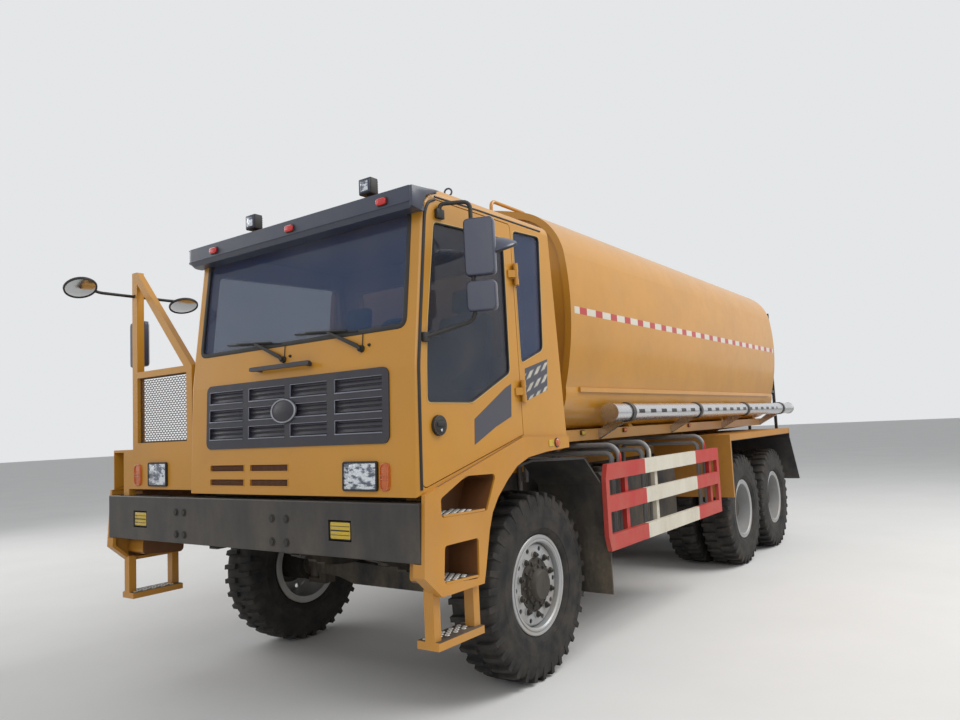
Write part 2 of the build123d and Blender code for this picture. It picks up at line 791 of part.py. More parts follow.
def door():
    """Return the rear-hung door with its window cut and its hinge barrels."""
    leaf = along_x(door_outline(), cab_left - cab_wall, cab_left)
    leaf -= along_x(side_window(door_window, 40), cab_left - cab_wall - 1, cab_left + 1)
    for z_up in hinge_heights:
        leaf += hinge(z_up)[0]
    y_handle, z_handle = at(205, 430)
    leaf += rod((cab_left, y_handle, z_handle), (cab_left + 22, y_handle, z_handle), 58)
    return leaf


def hinge_point(z_up):
    """Return the point of the hinge axis at a height."""
    share = (z_up - door_rear_foot[1]) / (door_rear_head[1] - door_rear_foot[1])
    y, z = at(door_rear_foot[0] + (door_rear_head[0] - door_rear_foot[0]) * share + door_gap / 2, z_up)
    return (cab_left + hinge_stand, y, z)


def hinge(z_up):
    """Return one hinge: the door's barrel and leaf, and the cab's two ears and pin."""
    centre = Vector(*hinge_point(z_up))
    along = (Vector(*hinge_point(z_up + 100)) - centre).normalized()
    plane = Plane(origin=centre, x_dir=(1, 0, 0), z_dir=along)
    half = hinge_length / 2
    third = hinge_length / 6
    # The local x axis points out of the truck, and the local y axis rearwards
    strap = Polygon(
        (-hinge_stand, -70), (-hinge_stand + 10, -70), (hinge_radius - 4, 0), (0, 8), (-hinge_stand, -14),
        align=None)
    moving = push(plane, Circle(hinge_radius), -third, third) + push(plane, strap, -third, third)
    moving -= push(plane, Circle(pin_radius + running_fit), -half, half)
    leaf = Polygon(
        (-hinge_stand, 60), (-hinge_stand + 10, 60), (hinge_radius - 4, 0), (0, -4), (-hinge_stand, 12),
        align=None)
    fixed = push(plane, Circle(pin_radius), -half, half)
    for low, high in ((-half, -third - 1), (third + 1, half)):
        fixed += push(plane, Circle(hinge_radius), low, high) + push(plane, leaf, low, high)
    return moving, fixed


def door_glass():
    """Return the door's window."""
    return along_x(
        side_window(door_window, 40), cab_left - glass_inset - glass_thickness, cab_left - glass_inset)


def seats():
    """Return the driver's and passenger's seats, standing on the cab's floor."""
    _, inner = cab_shell()
    pieces = []
    for x in seat_places:
        y_back, floor_z = at(1080, 330)
        base = block((x - 180, x + 180), (y_back - 260, y_back + 120), (floor_z - 200, floor_z + 230)) & inner
        cushion = block((x - 250, x + 250), (y_back - 400, y_back + 100), (floor_z + 230, floor_z + 350))
        cushion = fillet(cushion.edges(), 25)
        back = side_plate(
            [(y_back + 20, floor_z + 350), (y_back + 130, floor_z + 350), (y_back + 240, floor_z + 930),
             (y_back + 150, floor_z + 930)], x - 240, x + 240)
        back = fillet(back.edges().filter_by(Axis.X), 20)
        head = side_plate(
            [(y_back + 160, floor_z + 930), (y_back + 235, floor_z + 930), (y_back + 265, floor_z + 1130),
             (y_back + 190, floor_z + 1130)], x - 130, x + 130)
        pieces.append(base + cushion + back + head)
    return pieces


def dashboard():
    """Return the dashboard across the cab."""
    points = [at(130, 560), at(150, 950), at(520, 960), at(600, 880), at(560, 760), at(430, 700), at(400, 560)]
    return side_plate(points, cab_right + cab_wall, cab_left - cab_wall)


def steering_wheel():
    """Return the steering wheel and its column."""
    x = seat_places[0]
    y_hub, z_hub = at(650, 1010)
    y_foot, z_foot = at(540, 850)
    column = rod((x, y_foot, z_foot), (x, y_hub, z_hub), 35)
    plane = Plane(origin=(x, y_hub, z_hub), z_dir=(0, y_hub - y_foot, z_hub - z_foot))
    ring = plane * Torus(225, 16)
    spokes = plane * (Box(450, 36, 16) + Box(36, 450, 16))
    return column - dashboard() + ring + spokes


# Step panels, platform and mudguards

def ledge_points():
    """Return the step panel's sloping top edge."""
    return [(ledge_start, ledge_front), (ledge_knee, ledge_top), (ledge_end, ledge_rear)]


def step_outline():
    """Return the step panel's (y, z) outline with its wheel arch."""
    arch = [(1390, 215), (1140, 190), (990, 140), (870, 60), (750, -40), (680, -130), (640, -230), (580, -470)]
    return ledge_points() + [(ledge_end, 230)] + arch + [(560, -540), (150, -540), (0, -410)]


step_openings = [
    [(170, 10), (420, 120), (740, 110), (620, -110), (170, -100)],
    [(190, -260), (520, -260), (510, -500), (170, -470)]]


def step_panel():
    """Return the left step panel: pressed skin, two step tubs and the hanging step."""
    outline = make_face(Polyline(*[at(y, z) for y, z in step_outline()], close=True))
    inset = offset(outline, -skin, kind=Kind.INTERSECTION)
    panel = along_x(Plane.YZ * outline, panel_x - skin - flange_depth, panel_x)
    panel -= along_x(Plane.YZ * inset, panel_x - skin - flange_depth, panel_x - skin)
    openings = []
    for points in step_openings:
        opening = make_face(Polyline(*[at(y, z) for y, z in points], close=True))
        openings.append(fillet(opening.vertices(), step_corner))
    for opening in openings:
        wall = offset(opening, tub_wall, kind=Kind.INTERSECTION)
        panel += along_x(Plane.YZ * wall, panel_x - step_depth, panel_x - 1)
    for opening in openings:
        panel -= along_x(Plane.YZ * opening, panel_x - step_depth + tub_wall, panel_x + 1)
    cab_block, _ = cab_shell()
    panel -= cab_block
    panel -= block(
        (0, cab_left + skin_lap), (bumper_y - 50, bumper_y + bumper_depth + skin_lap),
        (bumper_top - bumper_height - skin_lap, bumper_top + ledge_front))
    y_low, z_low = at(0, 0)
    for y_from, y_to in ((120, 180), (500, 560)):
        panel += block((panel_x - 117, panel_x - 47), (y_low + y_from, y_low + y_to), (z_low - 800, z_low - 500))
    panel += block((panel_x - 177, panel_x - 17), (y_low + 120, y_low + 560), (z_low - 835, z_low - 790))
    return panel


def platform():
    """Return the right platform: front panel, deck, screen frame, post and brace."""
    y_face = bumper_y + 45
    panel = block((-1480, cab_right - 6), (y_face, y_face + skin), (bumper_top + 50, bumper_top + 360))
    panel -= block((-1115, -880), (y_face - 10, y_face + 50), (bumper_top + 80, bumper_top + 250))
    deck_under = bumper_top + 340
    deck = block((-cab_left, cab_right - 6), (y_face, bumper_y + 1650), (deck_under, deck_under + 20))
    frame = block((-1360, cab_right - 10), (y_face, y_face + 60), (bumper_top + 360, bumper_top + 975))
    frame -= block((-1290, -620), (y_face - 10, y_face + 80), (bumper_top + 410, bumper_top + 925))
    post = block(post_x, (y_face, y_face + 60), (bumper_top + 900, bumper_top + 1790))
    y_rod, z_rod = at(75, 1600)
    post -= rod((mirror_rod_x, y_rod - 60, z_rod), (mirror_rod_x, y_rod + 60, z_rod), mirror_rod_radius + seat_gap)
    brace = front_plate(
        [(-1290, bumper_top + 1790), (-1330, bumper_top + 1740), (-640, bumper_top + 960), (-560, bumper_top + 975)],
        y_face, y_face + 50)
    legs = block((-1500, -1420), (y_face, y_face + 60), (bumper_top, bumper_top + 340))
    deck_z = deck_under - bumper_top
    sheet = side_plate(
        [at(45, deck_z), at(45, ledge_front + 5), *[at(*place) for place in ledge_points()[1:2]],
         at(1650, ledge_rear + 2), at(1650, deck_z)], -cab_left, 6 - cab_left)
    return panel + deck + frame + post + brace + legs + sheet


def mesh():
    """Return the expanded metal sheet in the screen's frame."""
    y_face = bumper_y + 45
    return block((-1290, -620), (y_face + 26, y_face + 32), (bumper_top + 410, bumper_top + 925))


def front_mudguard():
    """Return the left front mudguard, a bent sheet round the tyre with an outer lip."""
    points = [(600, -470), (665, -200), (800, 0), (1000, 125), (1300, 165), (2080, 135), (2345, -90), (2450, -520),
              (2450, -1000)]
    path = Polyline(*[at(y, z) for y, z in points])
    inner = Polyline(*[at(y, z) for y, z in mudguard_inner(points)])
    outline = make_face(path + inner + Line(path @ 1, inner @ 1) + Line(inner @ 0, path @ 0))
    return along_x(Plane.YZ * outline, mudguard_inner_x, mudguard_outer_x)


def mudguard_inner(points):
    """Return the points moved towards the wheel's centre by the sheet's thickness."""
    moved = []
    for y, z in points:
        dy = y - front_overhang
        dz = z - (axle_z - bumper_top)
        reach = hypot(dy, dz)
        moved.append((y - dy / reach * 18, z - dz / reach * 18))
    return moved


# Mirrors

def dome(centre, axis, radius, height):
    """Return a shallow round mirror housing, flat on its mirror side."""
    ball = (radius * radius + height * height) / (2 * height)
    profile = make_face(
        Line((0, 0), (radius, 0)) + Line((radius, 0), (radius, 14))
        + ThreePointArc((radius, 14), (ball * sin(0.5 * atan2(radius, ball - height)),
                                       14 + height - ball * (1 - cos(0.5 * atan2(radius, ball - height)))),
                        (0, 14 + height))
        + Line((0, 14 + height), (0, 0)))
    solid = revolve(Plane.XZ * profile, axis=Axis.Z)
    return Plane(origin=centre, z_dir=axis) * solid


def mirror_head(place, z_range, turn):
    """Return a flat mirror's rounded housing, turned about the upright axis at a (x, y) place."""
    x, y = place
    housing = block((-mirror_width / 2, mirror_width / 2), (-26, 20), (z_range[0], z_range[1]))
    housing = fillet(housing.edges().filter_by(Axis.Y), 28)
    return Pos(x, y, 0) * Rot(0, 0, turn) * housing


def left_mirrors():
    """Return the left mirror arm with its two flat mirrors and the round one."""
    x_arm = cab_left + mirror_reach
    y_arm, z_top = at(330, 1750)
    y_head = y_arm + 75
    points = [
        (cab_left + 14, y_arm - 40, z_top - 40), (cab_left + 14, y_arm - 40, z_top + 20),
        (x_arm, y_head, z_top + 30), (x_arm, y_head, z_top - 700), (cab_left + 14, y_arm - 235, z_top - 745)]
    arm = bent_tube(points, 13, 40)
    foot = block((cab_left, cab_left + 24), (y_arm - 75, y_arm - 5), (z_top - 70, z_top - 10))
    low_foot = block((cab_left, cab_left + 24), (y_arm - 262, y_arm - 210), (z_top - 775, z_top - 715))
    place = (x_arm + 60, y_head + 22)
    main = mirror_head(place, (z_top - 433, z_top - 78), mirror_turn)
    low = mirror_head(place, (z_top - 650, z_top - 464), mirror_turn)
    bowl = dome((x_arm + 68, y_head + 80, z_top - 205), (0, -0.42, 1), mirror_bowl_radius, 85)
    return arm + foot + low_foot + main + low + bowl


def right_mirrors():
    """Return the right mirrors: a flat one on an arm from the post and two round ones on a rod."""
    x_rod = mirror_rod_x
    y_post, z_rod = at(75, 1600)
    front = bumper_y - mirror_overhang + 120
    bar = rod((x_rod, front, z_rod), (x_rod, bumper_y + 520, z_rod), mirror_rod_radius)
    bowls = dome((x_rod, front, z_rod - 20), (0, -0.5, 0.86), 118, 50)
    bowls += dome((x_rod, bumper_y + 520, z_rod - 20), (0, 0.5, 0.86), 118, 50)
    x_arm = -cab_left - 200
    y_arm = bumper_y + 390
    points = [
        (post_x[0] - 7.2, y_post + 10, z_rod - 90), (x_arm, y_arm, z_rod - 90), (x_arm, y_arm, z_rod - 560)]
    arm = bent_tube(points, 13, 60)
    return bar + bowls + arm + mirror_head((x_arm, y_arm), (z_rod - 520, z_rod - 120), 0)


# Tank

def tank_section(inset=0.0):
    """Return the tank's section in (x, z), a rounded box narrowing to its foot."""
    right = [(-x, z) for x, z in tank_side]
    lines = Line((-tank_side[-1][0], tank_bottom), (tank_side[-1][0], tank_bottom))
    for points in (tank_side, right):
        for i in range(0, len(points) - 2, 2):
            lines += ThreePointArc(points[i], points[i + 1], points[i + 2])
    face = make_face(lines)
    return offset(face, -inset) if inset else face


# Half of the tank's section, from its top round the side to its foot
tank_side = [
    (0, tank_top), (tank_half_width - 890, tank_top - 55), (tank_half_width - 420, tank_top - 170),
    (tank_half_width - 150, tank_top - 350), (tank_half_width - 35, tank_top - 595),
    (tank_half_width, tank_top - 965), (tank_half_width - 90, tank_bottom + 360),
    (tank_half_width - 200, tank_bottom + 85), (tank_half_width - 430, tank_bottom)]


def tank():
    """Return the tank with recessed heads, grab rails, manhole neck and ladder lugs."""
    y_front = bumper_y + tank_front
    y_rear = bumper_y + tank_rear
    body = along_y(tank_section(), y_front, y_rear)
    inner = tank_section(60)
    body -= along_y(inner, y_front, y_front + tank_rim)
    body -= along_y(inner, y_rear - tank_rim, y_rear)
    neck = Pos(0, bumper_y + manhole_y, tank_top - 40) * Cylinder(
        manhole_radius, 40 + manhole_height, align=(Align.CENTER, Align.CENTER, Align.MIN))
    rails = []
    for x in (-680, 680):
        foot = tank_top - 110
        rails.append(bent_tube(
            [(x, y_front + 25, foot - 60), (x, y_front + 25, tank_top + 20), (x, y_front + 620, tank_top + 20),
             (x, y_front + 620, foot)], 17, 60))
    rib_z = tank_bottom + rib_rise
    for x_from, x_to in ((tank_half_width - 120, tank_half_width - 70), (70 - tank_half_width, 120 - tank_half_width)):
        body += block((x_from, x_to), (y_front + 220, y_rear - 200), (rib_z - rib_height / 2, rib_z + rib_height / 2))
    body = body + neck
    for rail in rails:
        body += rail
    y_hinge = bumper_y + manhole_y + manhole_radius + 60
    for x in (-60, 60):
        ear = block((x - 12, x + 12), (y_hinge - 22, y_hinge + 22), (tank_top - 20, tank_top + manhole_height + 18))
        body += ear
    body += rod(
        (-70, y_hinge, lid_pin_z), (70, y_hinge, lid_pin_z), 9)
    return body


def manhole_lid():
    """Return the manhole's lid with its hinge strap."""
    y_centre = bumper_y + manhole_y
    y_hinge = y_centre + manhole_radius + 60
    base = tank_top + manhole_height + 0.3
    lid = Pos(0, y_centre, base) * Cylinder(manhole_radius + 25, 22, align=(Align.CENTER, Align.CENTER, Align.MIN))
    strap = block((-40, 40), (y_centre + 120, y_hinge), (base + 10, base + 32))
    barrel = rod((-40, y_hinge, lid_pin_z), (40, y_hinge, lid_pin_z), 20)
    bore = rod((-80, y_hinge, lid_pin_z), (80, y_hinge, lid_pin_z), 9 + running_fit)
    return lid + strap + barrel - bore


def tank_beams():
    """Return the beams on the rails and the side stringers that carry the tank's saddles."""
    y_range = (bumper_y + tank_front + 60, bumper_y + tank_rear - 40)
    beam = block((rail_x - rail_flange, rail_x), y_range, (rail_top, rail_top + beam_height))
    stringer = block(
        (saddle_reach - 100, saddle_reach), y_range, (tank_bottom - saddle_drop - 100, tank_bottom - saddle_drop))
    return both_sides(beam) + both_sides(stringer)


def tank_saddles():
    """Return the saddles under the tank."""
    z_top = tank_bottom - saddle_drop
    z_foot = rail_top + beam_height - 20
    right = [(-saddle_reach, z_top), (-saddle_reach, z_top - 90), (-620, z_foot + 50), (-540, z_foot)]
    left = [(-x, z) for x, z in reversed(right)]
    outline = right + left + [(saddle_reach - 80, tank_bottom + 125), (80 - saddle_reach, tank_bottom + 125)]
    body = along_y(tank_section(), bumper_y + tank_front, bumper_y + tank_rear)
    for beam in tank_beams():
        body += beam
    places = spaced(bumper_y + tank_front + 170, bumper_y + tank_rear - 370, saddle_count)
    return [front_plate(outline, y - 45, y + 45) - body for y in places]


def spaced(first, last, count):
    """Return evenly spaced places from the first to the last."""
    return [first + (last - first) * number / (count - 1) for number in range(count)]


def hose_tubes():
    """Return the left hose tube with its end caps and the brackets that carry it."""
    start = bumper_y + hose_tube_front
    end = bumper_y + hose_tube_rear
    tube = rod((hose_tube_x, start, hose_tube_z), (hose_tube_x, end, hose_tube_z), hose_tube_radius)
    for y_back in (0, hose_tube_rear - hose_tube_front - 30):
        tube += rod(
            (hose_tube_x, start + y_back, hose_tube_z), (hose_tube_x, start + y_back + 30, hose_tube_z),
            hose_tube_radius + 6)
    stringer_top = tank_bottom - saddle_drop
    for y in spaced(start + 350, end - 580, tube_bracket_count):
        tube += front_plate(
            [(saddle_reach, stringer_top - 98), (saddle_reach, stringer_top - 20), (hose_tube_x - 70, hose_tube_z),
             (hose_tube_x + 30, hose_tube_z - 60), (hose_tube_x - 10, hose_tube_z - 84)], y - 25, y + 25)
        tube += rod((hose_tube_x, y - 25, hose_tube_z), (hose_tube_x, y + 25, hose_tube_z), hose_tube_radius + 7)
    return both_sides(tube)


# Side guards and what hangs on the frame

hoop_radius = 22
guard_rails = ((60, -70), (-200, -330), (-510, -640))
hoop_places = (guard_front + 470, guard_front + 1120, guard_rear - 180)


def side_guard():
    """Return the left side guard: three rails on two bent end posts and inner posts."""
    x_from = guard_outer_x - guard_gauge
    x_to = guard_outer_x
    y_front = bumper_y + guard_front
    y_rear = bumper_y + guard_rear
    guard = None
    for top, low in guard_rails:
        rail = block((x_from, x_to), (y_front + 40, y_rear), (bumper_top + low, bumper_top + top))
        guard = rail if guard is None else guard + rail
    front = [(40, 60), (110, 60), (60, -60), (60, -500), (110, -640), (40, -640), (0, -520), (0, -60)]
    guard += side_plate([(y_front + y, bumper_top + z) for y, z in front], x_from, x_to)
    rear = [(0, 60), (0, -640), (-70, -640), (-70, 60)]
    guard += side_plate([(y_rear + y, bumper_top + z) for y, z in rear], x_from, x_to)
    for y_back in hoop_places:
        y = bumper_y + y_back
        guard += block((x_from - 40, x_from), (y - 30, y + 30), (bumper_top - 640, bumper_top + 50))
    return guard


def guard_hoop(y_back):
    """Return one pair of bent tubes from the rail out to the guard's post."""
    y = bumper_y + y_back
    root_x = rail_x + hoop_radius + seat_gap
    end_x = guard_outer_x - 2 * guard_gauge - hoop_radius + 4
    outer = bent_tube(
        [(root_x, y, 1250), (root_x, y, 1655), (end_x, y, 1655), (end_x, y, 840)], hoop_radius, 110)
    inner = bent_tube(
        [(root_x + 70, y, 1330), (root_x + 70, y, 1585), (end_x - 70, y, 1585), (end_x - 70, y, 880)],
        hoop_radius, 60)
    ties = block((root_x, root_x + 70), (y - 12, y + 12), (1340, 1380))
    ties += block((end_x - 70, end_x), (y - 12, y + 12), (890, 930))
    return outer + inner + ties


def fuel_tank():
    """Return the left fuel tank on its two brackets."""
    y_from = bumper_y + guard_front + 670
    y_to = bumper_y + guard_rear - 430
    body = front_plate(
        [(700, 760), (760, 700), (1240, 700), (1300, 760), (1300, 1340), (1240, 1400), (760, 1400), (700, 1340)],
        y_from, y_to)
    for y in (y_from + 300, y_to - 300):
        body += block((rail_x, 720), (y - 40, y + 40), (rail_bottom + 20, rail_top - 20))
    cap = rod((1150, y_from + 200, 1400), (1150, y_from + 200, 1440), 60)
    return body + cap


def air_tanks():
    """Return the two air reservoirs and the battery box on the right rail."""
    pieces = []
    y_from = bumper_y + guard_front + 670
    y_to = bumper_y + guard_rear - 1130
    for z in (860, 1200):
        tank_body = rod((-900, y_from, z), (-900, y_to, z), 140)
        pieces.append(tank_body)
    joined = pieces[0] + pieces[1]
    for y in (y_from + 200, y_to - 200):
        joined += block((-940, -rail_x), (y - 30, y + 30), (rail_bottom + 20, rail_top - 60))
        joined += block((-925, -875), (y - 30, y + 30), (860, 1200))
    box = block((-1300, -rail_x), (y_to + 250, y_to + 900), (900, 1400))
    return [joined, box]


def rear_mudguard():
    """Return the left rear mudguard: top sheet, front closing sheet and outer flange."""
    x_in = 640
    x_out = 1600
    y_front = mid_axle_y - rear_guard_front
    y_rear = rear_axle_y + rear_guard_rear
    top = block((x_in, x_out), (y_front, y_rear), (1620, 1638))
    front = side_plate(
        [(y_front, 1638), (y_front, 900), (y_front + 14, 900), (y_front + 14, 1638)], x_in, x_out)
    flange = block((x_out - 40, x_out), (y_front, y_rear), (1560, 1638))
    post = block((x_out - 60, x_out), (y_front, y_front + 50), (900, 1638))
    stay = block((rail_x, 700), (y_front + 40, y_front + 100), (1540, 1620))
    stay += block((rail_x, 700), (y_rear - 160, y_rear - 100), (1540, 1620))
    for y in (y_front + 40, y_rear - 160):
        stay += block((rail_x, rail_x + 12), (y, y + 60), (1300, 1620))
    return top + front + flange + post + stay


def mud_flap():
    """Return the left rubber flap behind the rear wheels."""
    y_top = rear_axle_y + rear_guard_rear
    points = [(y_top, 1638), (y_top, 1500), (y_top + 420, 860), (y_top + 436, 868), (y_top + 18, 1505),
              (y_top + 18, 1638)]
    return side_plate(points, 660, 1600)


def ladder():
    """Return the ladder at the tank's left rear."""
    y = bumper_y + tank_rear + 160
    foot = rail_top - 270
    head = tank_top - 475
    steps = None
    for x in (950, 1350):
        stile = block((x - 20, x + 20), (y - 15, y + 15), (foot, head))
        steps = stile if steps is None else steps + stile
    for z in spaced(foot + 150, head - 90, 8):
        steps += rod((950, y, z), (1350, y, z), 13)
    for x in (950, 1350):
        for z in (tank_bottom + 395, head - 420):
            y_seat = y - 160 - tank_rim
            steps += block((x - 15, x + 15), (y_seat, y), (z - 20, z + 20)) - tank()
    return steps


def rear_bar():
    """Return the rear under-run bar with its hangers and the spray bar over it."""
    y = bumper_y + frame_rear
    bar = block((-rear_bar_half, rear_bar_half), (y + 60, y + 160), rear_bar_z)
    for x in (-rail_x, rail_x - rail_flange):
        bar += block((x, x + rail_flange), (y, y + 100), (rear_bar_z[0] + 60, rail_top - 40))
    bar += rod((-630, y + 130, 1120), (630, y + 130, 1120), 45)
    for x in (-500, -250, 0, 250, 500):
        bar += rod((x, y + 130, 1120), (x, y + 230, 1090), 22)
    return bar


# Lamps

def headlamps():
    """Return the two headlamps and the two work lamps on the roof."""
    lower = face_plane()
    left = panel_on(lower, headlamp_x, headlamp_v, (-40, 12), 12)
    right = block((-1115, -880), (bumper_y + 33, bumper_y + 85), (bumper_top + 80, bumper_top + 250))
    lamps = [left, right]
    for x in work_lamp_x:
        y, z = at(work_lamp_y, 1883)
        foot = block((x - 15, x + 15), (y, y + 30), (z - 60, z + 40))
        lamps.append(foot + block((x - 55, x + 55), (y - 40, y + 40), (z + 20, z + 125)) - sun_visor())
    return lamps


def amber_lamps():
    """Return the fog lamps, indicators and side marker lamps."""
    lower = face_plane()
    lamps = [panel_on(lower, indicator_x, indicator_v, (0, 12), 20)]
    lamps.append(block((-1330, -1230), (bumper_y + 33, bumper_y + 45), (bumper_top + 75, bumper_top + 245)))
    for x_from, x_to in fog_lamp_x:
        lamps.append(block(
            (x_from, x_to), (bumper_y + fog_setback, bumper_y + fog_pocket),
            (bumper_top + fog_lamp_z[0], bumper_top + fog_lamp_z[1])))
    for x in (panel_x, -panel_x - 20):
        lamps.append(block((x, x + 20), (bumper_y + 1480, bumper_y + 1580), (bumper_top + 240, bumper_top + 300)))
    return lamps


def red_lamps():
    """Return the roof marker lamps and the rear lamps."""
    lamps = []
    for x in (cab_right + 260, (cab_left + cab_right) / 2, cab_left - 230):
        y, z = at(25, 1775)
        lamps.append(block((x - 55, x + 55), (y - 18, y), (z - 28, z + 28)))
    for x in (150 - rear_bar_half, rear_bar_half - 150):
        y = bumper_y + frame_rear + 160
        lamps.append(block((x - 110, x + 110), (y, y + 40), (rear_bar_z[0] + 15, rear_bar_z[1] - 15)))
    return lamps


def bumper():
    """Return the bumper box with its brackets to the rails."""
    half = bumper_width / 2
    box = block((-half, half), (bumper_y, bumper_y + bumper_depth), (bumper_top - bumper_height, bumper_top))
    box = fillet(box.faces().sort_by(Axis.Y)[0].edges(), 10)
    for x_from, x_to in fog_lamp_x:
        box -= block(
            (x_from - fog_gap, x_to + fog_gap), (bumper_y - 10, bumper_y + fog_pocket),
            (bumper_top + fog_lamp_z[0] - fog_gap, bumper_top + fog_lamp_z[1] + fog_gap))
    return box


rail_left = channel_rail()
write("frame_rails", both_sides(rail_left), grey)
write("cross_members", cross_members(), grey)
write("frame_brackets", frame_brackets(), grey)
write("cab_mounts", cab_mounts(), grey)
write("rear_bar", rear_bar(), grey)
write("bumper", bumper(), black)
write("engine_block", engine(), grey)
write("driveline", driveline(), grey)
write("leaf_springs", springs(), grey)
write("front_axle", front_axle(), grey)
write("rear_axles", [rear_axle(mid_axle_y), rear_axle(rear_axle_y)], grey)
write("knuckle_left", knuckle(), grey)
write("knuckle_right", other_side(knuckle()), grey)
write("tie_rod", tie_rod(), grey)

tyre_left, rim_left = front_wheel()
write("tyre_front_left", tyre_left, black)
write("rim_front_left", rim_left, steel)
write("tyre_front_right", other_side(tyre_left), black)
write("rim_front_right", other_side(rim_left), steel)
for axle_name, axle_y in (("mid", mid_axle_y), ("rear", rear_axle_y)):
    twin_tyres, twin_rims = twin_wheel(axle_y)
    write(f"tyres_{axle_name}_left", twin_tyres, black)
    write(f"rims_{axle_name}_left", twin_rims, steel)
    write(f"tyres_{axle_name}_right", [other_side(one) for one in twin_tyres], black)
    write(f"rims_{axle_name}_right", other_side(twin_rims), steel)

for name, panel in cab_panels().items():
    write(name, panel, yellow)
write("cab_glass", cab_glass(), glass)
write("sun_visor", sun_visor(), black)
write("grille", [grille(), front_handle()], black)
write("wipers", wipers(), black)
write("seats", seats(), black)
write("dashboard", dashboard() + steering_wheel(), black)
write("door_left", door(), yellow)
write("door_glass", door_glass(), glass)

write("step_panels", both_sides(step_panel()), yellow)
write("platform_right", platform(), yellow)
write("screen_mesh", mesh(), grey)
write("mudguards_front", both_sides(front_mudguard()), black)
write("mirrors_left", left_mirrors(), black)
write("mirrors_right", right_mirrors(), black)
write("headlamps", headlamps(), white)
write("amber_lamps", amber_lamps(), amber)
write("red_lamps", red_lamps(), red)

write("tank", tank(), yellow)
write("manhole_lid", manhole_lid(), yellow)
write("tank_beams", tank_beams(), yellow)
write("tank_saddles", tank_saddles(), yellow)
write("hose_tubes", hose_tubes(), steel)
guard = side_guard()
for hoop_place in hoop_places:
    guard += guard_hoop(hoop_place)
write("side_guards", both_sides(guard), red)
write("frame_tanks", [fuel_tank(), *air_tanks()], black)
write("mudguards_rear", both_sides(rear_mudguard() + mud_flap()), yellow)
write("rear_ladder", ladder(), black)
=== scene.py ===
"""Looks of an off-road water tanker truck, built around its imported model.

Metres. +Z is up, the truck faces -Y and its left side is +X. Places on the cab are given as distances
behind the bumper's front face and heights over its top edge, and `at` turns them into model places.
"""

import logging
from collections.abc import Callable, Iterator, Sequence
from contextlib import contextmanager
from dataclasses import dataclass
from enum import Enum
from functools import cache
from math import cos, hypot, pi, radians, sin

import bpy
from mathutils import Matrix, Vector


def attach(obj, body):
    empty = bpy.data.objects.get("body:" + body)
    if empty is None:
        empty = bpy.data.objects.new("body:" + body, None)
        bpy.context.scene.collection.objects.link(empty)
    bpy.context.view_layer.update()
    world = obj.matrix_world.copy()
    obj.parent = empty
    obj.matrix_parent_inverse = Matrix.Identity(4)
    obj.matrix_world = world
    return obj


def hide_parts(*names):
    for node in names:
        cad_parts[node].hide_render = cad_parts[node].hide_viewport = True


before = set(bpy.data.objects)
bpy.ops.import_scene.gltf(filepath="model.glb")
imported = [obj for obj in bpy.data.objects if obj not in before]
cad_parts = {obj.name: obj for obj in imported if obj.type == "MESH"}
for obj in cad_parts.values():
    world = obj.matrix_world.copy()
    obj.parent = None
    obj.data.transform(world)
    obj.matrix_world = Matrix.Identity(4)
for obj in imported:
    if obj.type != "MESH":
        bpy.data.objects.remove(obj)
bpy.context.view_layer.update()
log = logging.getLogger("tanker")

BUMPER_Y = -4.33
BUMPER_TOP = 1.455
AXLE_Z = 0.685
FRONT_AXLE_Y = -2.73
MID_AXLE_Y = 2.17
REAR_AXLE_Y = 3.62
ALONG_X = (0, pi / 2, 0)    # turns an upright primitive to lie along X
FAR = 20.0                  # keeps a place positive before it is divided into periods
DASH_START = 10.0           # does the same along Y, and sets where a row of dashes starts

Obj = bpy.types.Object
Pair = tuple[float, float]
Point = tuple[float, float, float]
Colour = tuple[float, float, float]
Spread = tuple[Pair, Pair]


def at(y_back: float, z_up: float = 0.0) -> Pair:
    """Return (y, z) for a place behind the bumper's face and over its top edge."""
    return BUMPER_Y + y_back, BUMPER_TOP + z_up


def spot(x: float, y_back: float, z_up: float) -> Point:
    """Return the model place of a place across, behind and over the bumper."""
    return (x, *at(y_back, z_up))


def around(middle: float, half: float) -> Pair:
    """Return the bounds at equal distances from a middle."""
    return middle - half, middle + half


def between(bounds: Pair, share: float) -> float:
    """Return the place at a share of the way between two bounds."""
    return bounds[0] + (bounds[1] - bounds[0]) * share


def srgb(red: int, green: int, blue: int) -> Colour:
    """Return a linear colour for the three 8-bit values that a screen shows.

    Args:
        red: The red value.
        green: The green value.
        blue: The blue value.

    Returns:
        The colour.
    """
    def linear(value: int) -> float:
        """Return one value's linear share."""
        share = value / 255
        return share / 12.92 if share <= 0.04045 else ((share + 0.055) / 1.055) ** 2.4
    return linear(red), linear(green), linear(blue)


# Materials

def joins(operation: str, swapped: bool = False) -> Callable[["Sock", object], "Sock"]:
    """Return a method that joins a socket and another value by a Math node.

    Args:
        operation: What the node works out.
        swapped: Whether the other value comes first.

    Returns:
        The method.
    """
    def method(self: "Sock", other: object = 0.0) -> "Sock":
        """Return the node's result."""
        first, second = (other, self) if swapped else (self, other)
        return self.tree.node("ShaderNodeMath", {"operation": operation}, {0: first, 1: second})
    return method


